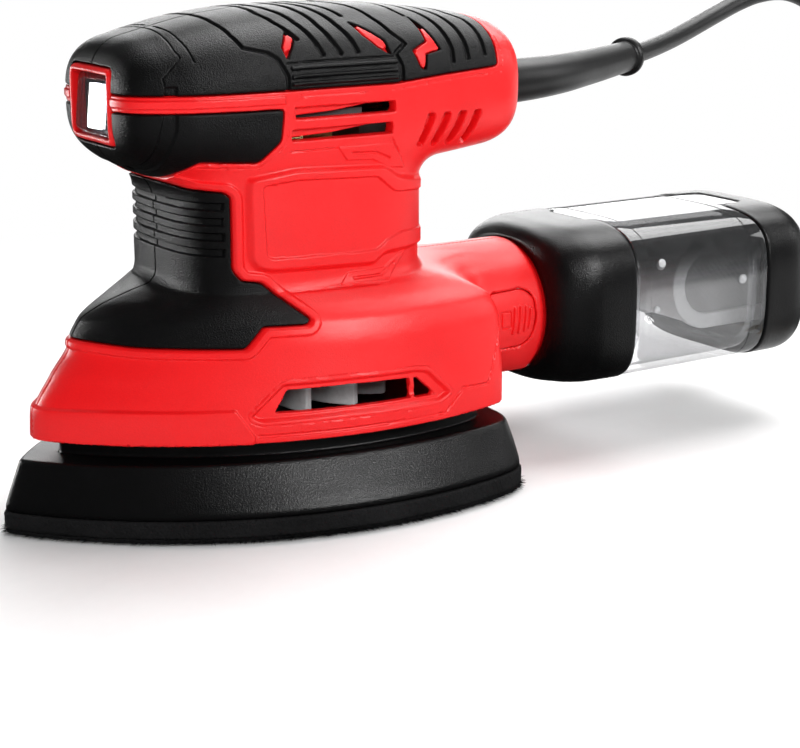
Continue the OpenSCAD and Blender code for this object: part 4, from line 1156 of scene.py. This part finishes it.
def plug_form(p):
    """Moulded two-blade plug with finger hollows and a ribbed neck."""
    x, y, z = p.T
    y, z = y - PLUG_Y, z - PLUG_Z
    s = 240 - x
    half_y = 11.6 - 2.6 * np.exp(-((s - 22) / 6)**2) - 4.2 * smooth((16 - s) / 7)
    half_z = 8.2 - 0.9 * np.exp(-((s - 22) / 7)**2) - 2.0 * smooth((16 - s) / 7)
    g = ((np.abs(y) / half_y)**3.4 + (np.abs(z) / half_z)**3.4)**(1 / 3.4) + 1e-9
    core = np.hypot(y, z) * (1 - 1 / g)
    core = smax(smax(core, s - 42, 1.6), 11.6 - s, 1.6)
    ribs = 0.5 * smooth(0.5 + 1.4 * np.cos((s - 20) * 2 * np.pi / 3.2))
    ribs = ribs * smooth((s - 16.5) / 1.5) * smooth((28.5 - s) / 1.5)
    core = core + ribs * smooth((np.abs(z) - 3) / 3)
    neck = np.hypot(y, z) - (4.4 + 0.17 * s)
    cuts = 0.9 * smooth(0.5 + 2 * np.cos(s * 2 * np.pi / 3.1)) * smooth(s / 1.2) * smooth(11.5 - s)
    neck = smax(neck + cuts, np.abs(s - 6.5) - 6.5, 0.8)
    f = smin(core, neck, 1.2)
    slot = np.maximum(np.maximum(np.abs(np.abs(y) - BLADE_Y) - 0.8, np.abs(z) - 3.3), 34 - s)
    return np.maximum(f, -slot)


def blade_form(p):
    """The plug's two blades, with their holes."""
    x, y, z = p.T
    y, z = y - PLUG_Y, z - PLUG_Z
    a = np.abs(y) - BLADE_Y
    tip = np.hypot(np.maximum(185.3 - x, 0), np.maximum(np.abs(z) - 1.6, 0) * 0.6) - 1.4
    f = smax(np.maximum(np.abs(a) - 0.74, np.abs(z) - 3.15), tip, 0.4)
    f = np.maximum(f, x - 206)
    return smax(f, 1.6 - np.hypot(x - 189.5, z), 0.2)


plug = solid("plug_moulding", plug_form, (197, -66, 0), (241, -40, 17.2), 0.8, 0.4, None, 2)
blades = solid("plug_blades_plated", blade_form, (181.5, -61, 5), (206.5, -45, 12), 0.5, 0.3, None, 1)


TIE_X, TIE_Y = 231.2, -8        # middle of the tie, on the coil's longer side


def tie_form(p):
    """Ribbed strap closed round the coil, with its locking head on top."""
    x, y, z = p.T
    x, y = x - TIE_X, y - TIE_Y
    outer = rounded(x, z - 6.3, 11.2, 7.3, 3.2)
    loop = smax(smax(outer, -(outer + 1.2), 0.3), np.abs(y) - 4.6, 0.5)
    teeth = 0.22 * np.sin(x * 4.2) * (z > 12.6)
    lock = smax(rounded(x - 3, z - 13.9, 3.0, 1.3, 0.5), np.abs(y) - 5.2, 0.5)
    return smax(smin(loop + teeth, lock, 0.5), 0.02 - z, 0.2)


tie = solid("coil_tie_strap", tie_form, (219, -14, -1.2), (243.5, -2, 15.6), 0.6, 0.35, None, 2)

# ---- materials ---------------------------------------------------------------------------


def wire(tree, node, inputs):
    """Sets inputs of a node. Each takes a value, a socket, or a node for its first output."""
    for key, value in inputs.items():
        if isinstance(value, bpy.types.Node):
            value = value.outputs[0]
        if isinstance(value, bpy.types.NodeSocket):
            tree.links.new(value, node.inputs[key])
        else:
            node.inputs[key].default_value = value


def add(tree, kind, inputs=None, **settings):
    """Adds a shader node with these settings and inputs."""
    node = tree.nodes.new("ShaderNode" + kind)
    for key, value in settings.items():
        setattr(node, key, value)
    wire(tree, node, inputs or {})
    return node


def colour_ramp(tree, value, stops):
    """Colour ramp over a value, from (position, grey or colour) stops; the outer two come first."""
    ramp = add(tree, "ValToRGB", {"Fac": value})
    for k, (at, colour) in enumerate(stops):
        stop = ramp.color_ramp.elements[k] if k < 2 else ramp.color_ramp.elements.new(at)
        stop.position, stop.color = at, (*colour, 1)
    return ramp


def new_material(name):
    m = bpy.data.materials.new(name)
    m.use_nodes = True
    return m, m.node_tree


def material(name, colour, rough, grain=(1400, 0.03), mottle=0.06, spread=0.1, metal=0.0, spec=0.5,
             shade=0.65):
    """Moulded or machined finish: a fine grain, uneven roughness and slight wear on its colour."""
    m, tree = new_material(name)
    bsdf = tree.nodes["Principled BSDF"]
    place = add(tree, "TexCoord").outputs["Object"]

    def noise(scale, detail, harshness=0.55):
        return add(tree, "TexNoise", {
            "Scale": scale, "Detail": detail, "Roughness": harshness, "Vector": place})

    broad, fine = noise(38, 4), noise(grain[0], 2.5, 0.65)
    low, high = ([min(1, c * k) for c in colour] for k in ((1 - mottle) * 0.985, 1 + mottle))
    wear = colour_ramp(tree, broad, ((0.3, low), (0.7, high)))
    fleck = add(tree, "MapRange", {"Value": fine, "From Min": 0.35, "From Max": 0.65, "To Min": shade})
    speck = add(tree, "Mix", {"Factor": 0.35, "A": wear, "B": fleck},
                data_type="RGBA", blend_type="MULTIPLY")
    vary = add(tree, "MapRange", {"Value": noise(90, 4), "To Min": max(0.02, rough - spread),
                                  "To Max": min(1, rough + spread)})
    bump = add(tree, "Bump", {"Height": fine, "Strength": 1.0, "Distance": grain[1] * MM})
    wire(tree, bsdf, {"Base Color": speck.outputs["Result"], "Roughness": vary, "Normal": bump,
                      "Metallic": metal, "Specular IOR Level": spec})
    return m


def clear_material(name, tint, gloss, haze, mirror, edge=None):
    """Clear moulding: lets light through and reflects at a slant, with faint scuffs."""
    m, tree = new_material(name)
    tree.nodes.clear()
    place = add(tree, "TexCoord").outputs["Object"]
    scuff = add(tree, "TexNoise", {"Scale": 260, "Detail": 6, "Vector": place})
    through_it = (*tint, 1)
    if edge:
        # Painted shade: between these heights the clear wall lets much less light through, a dark band that
        # stands in for the light its thick rounded edge turns away; above the band it lets less through than
        # below it
        height = add(tree, "MapRange", {"Value": add(tree, "SeparateXYZ", {"Vector": place}).outputs["Z"],
                                        "From Min": edge[0] - 0.006, "From Max": edge[1] + 0.0015})
        painted_shade_shares = ((0, 1), (1, 0.64), (0.55, 0.11), (0.9, 0.08))
        through_it = colour_ramp(tree, height, [(at, [c * k for c in tint]) for at, k in painted_shade_shares])
    clear = add(tree, "BsdfTransparent", {"Color": through_it})
    rough = add(tree, "MapRange", {"Value": scuff, "To Min": 0.02, "To Max": gloss})
    bump = add(tree, "Bump", {"Height": scuff, "Strength": 0.15, "Distance": 0.02 * MM})
    shine = add(tree, "BsdfGlossy", {"Roughness": rough, "Normal": bump})
    facing = add(tree, "LayerWeight").outputs["Facing"]
    slant = add(tree, "MapRange", {"Value": add(tree, "Math", {0: facing, 1: 5.0}, operation="POWER"),
                                   "To Min": mirror, "To Max": 0.7})
    film = add(tree, "MixShader", {"Fac": slant, 1: clear, 2: shine})
    cloud = add(tree, "BsdfDiffuse", {"Color": (0.8, 0.82, 0.84, 1)})
    amount = add(tree, "MapRange", {"Value": scuff, "To Min": haze * 0.5, "To Max": haze * 1.5})
    blend = add(tree, "MixShader", {"Fac": amount, 1: film, 2: cloud})
    add(tree, "OutputMaterial", {"Surface": blend})
    return m


finishes = {name: material(name, *look) for name, *look in (
    ("grey_plastic", (0.55, 0.555, 0.56), 0.42, (900, 0.03)),
    ("filter_cloth", (0.22, 0.22, 0.22), 0.9, (700, 0.16), 0.12),
    ("bearing_steel", (0.55, 0.55, 0.56), 0.22, (1100, 0.01), 0.05, 0.1, 1),
    ("zinc_steel", (0.50, 0.51, 0.53), 0.34, (800, 0.02), 0.12, 0.1, 1),
    ("electrical_steel", (0.20, 0.20, 0.21), 0.45, (1600, 0.04), 0.1, 0.1, 0.9),
    ("cast_alloy", (0.09, 0.09, 0.092), 0.62, (600, 0.08), 0.12, 0.1, 0.6),
    ("copper", (0.62, 0.25, 0.10), 0.3, (1700, 0.06), 0.2, 0.1, 1),
    ("brass_plate", (0.42, 0.29, 0.12), 0.4, (900, 0.015), 0.1, 0.1, 1),
    ("carbon", (0.02, 0.02, 0.021), 0.6, (900, 0.05), 0.2),
    ("rubber", (0.006, 0.006, 0.006), 0.55, (800, 0.06), 0.2),
    ("foam", (0.008, 0.008, 0.0085), 0.9, (1500, 0.6), 0.35, 0.1, 0, 0.15),
    ("hook", (0.008, 0.008, 0.0085), 0.95, (2200, 0.5), 0.4, 0.1, 0, 0.15),
    ("yellow_film", (0.75, 0.50, 0.06), 0.35, (500, 0.02)),
    ("white_plastic", (0.30, 0.295, 0.28), 0.5, (700, 0.02), 0.03),
    ("wire_blue", (0.02, 0.05, 0.30), 0.4, (900, 0.02), 0.08),
    ("cord_rubber", (0.005, 0.005, 0.0052), 0.42, (1500, 0.05), 0.15, 0.08, 0, 0.35),
    ("frosted", (0.50, 0.51, 0.52), 0.2, (900, 0.05), 0.08),
    ("red_plastic", (0.78, 0.006, 0.008), 0.38, (2500, 0.07), 0.04, 0.06, 0, 0.42, 0.82),
    ("black_grip", (0.0030, 0.0030, 0.0032), 0.36, (2500, 0.21), 0.15, 0.08, 0, 0.17),
    ("black_plastic", (0.0022, 0.0022, 0.0024), 0.30, (2500, 0.11), 0.1, 0.05, 0, 0.24))}
finishes |= {name: clear_material(name, *look) for name, *look in (
    ("frosted_clear", (0.93, 0.93, 0.935), 0.1, 0.10, 0.05),
    # The clear plastic's last pair gives the heights of its painted dark band
    ("clear_plastic", (0.925, 0.925, 0.93), 0.08, 0.03, 0.07, (0.0555, 0.0625)),
    ("clear_boot", (0.80, 0.80, 0.84), 0.06, 0.02, 0.14))}


def dress(obj, body_name, slot_name, nodes=(), finish=None):
    """Gives a piece its finish and body, and hides the CAD nodes that it stands for."""
    obj.data.materials.clear()
    obj.data.materials.append(finish or finishes[slot_name])
    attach(obj, body_name)
    if nodes:
        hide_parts(*nodes)
    return obj


record = frame["record"]
slots_of = {row["node"]: row["material_slot"] for row in record["subparts"]}
for node_name, obj in frame["nodes"].items():
    obj.data.materials.clear()
    obj.data.materials.append(finishes[slots_of[node_name]])

where = {n: b for b, members in record["behaviour"]["bodies"].items() for n in members}
for name, obj in shells.items():
    dress(obj, where[name], slots_of[name], [name])
for obj, name in (
        (switch_frame, "switch_frame"), (switch_boot, "switch_boot"), (rocker, "switch_rocker"),
        (latches["left"], "latch_left"), (latches["right"], "latch_right"), (pad_plate, "pad_plate"),
        (pad_foam, "pad_foam"), (hook, "hook_layer"), (dust_collar, "dust_collar"),
        (dust_window, "dust_window"), (dust_cap, "dust_cap"), (filter_frame, "filter_frame"),
        (filter_cloth, "filter_cloth"), (spigot_seal, "spigot_seal"), (fan, "cooling_fan"),
        (strain_relief, "strain_relief"), (plug, "plug"), (blades, "plug_blades"), (tie, "coil_tie")):
    dress(obj, where[name], slots_of[name], [name])
dress(fuzz, where["hook_layer"], slots_of["hook_layer"])
dress(lip_bands, where["dust_window"], slots_of["dust_window"], finish=finishes["frosted_clear"])
dress(stud_marks, where["dust_window"], slots_of["dust_window"], finish=finishes["frosted"])
dress(cord, "housing", "cord_rubber", ["cord", "cord_coil", "cord_tail"])

# ---- room --------------------------------------------------------------------------------

floor_mesh = bpy.data.meshes.new("floor")
floor_mesh.from_pydata([(-6, -6, 0), (6, -6, 0), (6, 6, 0), (-6, 6, 0)], [], [(0, 1, 2, 3)])
floor = bpy.data.objects.new("floor", floor_mesh)
scene.collection.objects.link(floor)
floor.location.z = -0.0008
paper = material("floor_paper", (0.90, 0.90, 0.90), 0.8, (300, 0.01), 0.01, spec=0.1, shade=0.98)
tree = paper.node_tree
place = tree.nodes["Texture Coordinate"].outputs["Object"]
ray = add(tree, "LightPath").outputs

# Seen directly, the floor fades to plain white away from the tool
spot = add(tree, "VectorMath", {0: place}, operation="LENGTH").outputs["Value"]
fade = add(tree, "MapRange", {"Value": spot, "From Min": 0.14, "From Max": 0.40},
           interpolation_type="SMOOTHSTEP")
share = add(tree, "Math", {0: fade, 1: ray["Is Camera Ray"]}, operation="MULTIPLY")

# Painted reflection: mirrored in the tool's dark sides, the floor is a dim glow instead of its lit white,
# with a brighter glowing patch on each side that paints sheen on those sides
where_on = add(tree, "SeparateXYZ", {"Vector": place}).outputs
painted_reflection_strength = 0.02
for x_edge, y_edge, strength in (((0.12, 0.20), (-0.27, -0.19), 1.3), ((0.10, 0.04), (-0.20, -0.26), 1.2)):
    parts = [add(tree, "MapRange", {"Value": where_on[axis], "From Min": low, "From Max": high},
                 interpolation_type="SMOOTHSTEP") for axis, (low, high) in (("X", x_edge), ("Y", y_edge))]
    painted_sheen_patch = add(tree, "Math", dict(enumerate(parts)), operation="MULTIPLY")
    painted_reflection_strength = add(tree, "Math", {0: painted_sheen_patch, 1: strength, 2: painted_reflection_strength}, operation="MULTIPLY_ADD")
painted_reflection_glow = add(tree, "Emission", {"Strength": painted_reflection_strength})
mirrored = add(tree, "MixShader", {"Fac": ray["Is Glossy Ray"], 1: tree.nodes["Principled BSDF"], 2: painted_reflection_glow})
both = add(tree, "MixShader", {"Fac": share, 1: mirrored, 2: add(tree, "Emission")})
wire(tree, tree.nodes["Material Output"], {"Surface": both})
floor_mesh.materials.append(paper)

world = bpy.data.worlds.new("studio")
world.use_nodes = True
tree = world.node_tree
seen = add(tree, "LightPath").outputs["Is Camera Ray"]
strength = add(tree, "MapRange", {"Value": seen, "To Min": 0.07})
wire(tree, tree.nodes["Background"], {"Color": (1, 1, 1, 1), "Strength": strength})
scene.world = world


def area(name, at, aim, size, watts, glossy=True, diffuse=True):
    """Rectangular lamp, in metres, that stands at one place and points at another."""
    data = bpy.data.lights.new(name, "AREA")
    data.energy, data.shape = watts, "RECTANGLE"
    data.size, data.size_y = size
    lamp = bpy.data.objects.new(name, data)
    lamp.location = at
    lamp.rotation_euler = (Vector(aim) - Vector(at)).to_track_quat("-Z", "Y").to_euler()
    lamp.visible_glossy, lamp.visible_diffuse = glossy, diffuse
    scene.collection.objects.link(lamp)


area("top", (0.42, 0.24, 0.80), (0.05, 0, 0.07), (0.75, 0.75), 12.5)
area("front", (-0.42, -0.78, 0.50), (0, 0, 0.06), (0.36, 0.36), 4.0, glossy=False)
area("key", (0.20, -0.78, 0.52), (0, 0, 0.04), (0.16, 0.26), 3.2)
area("sheen", (0.22, -0.78, 0.50), (0, 0, 0.04), (0.16, 0.26), 4.0, diffuse=False)
area("left", (-0.86, -0.50, 0.24), (-0.02, 0, 0.06), (0.16, 0.5), 1.1, glossy=False)
area("side", (0.95, -0.34, 0.42), (0.06, -0.03, 0.04), (0.30, 0.45), 1.8)
area("card", (-0.274, 0.332, 0.10), (-0.05, 0, 0.11), (0.12, 0.14), 1.5, diffuse=False)
area("back", (0.62, 0.92, 0.30), (0.05, 0, 0.10), (0.9, 0.3), 4.6)
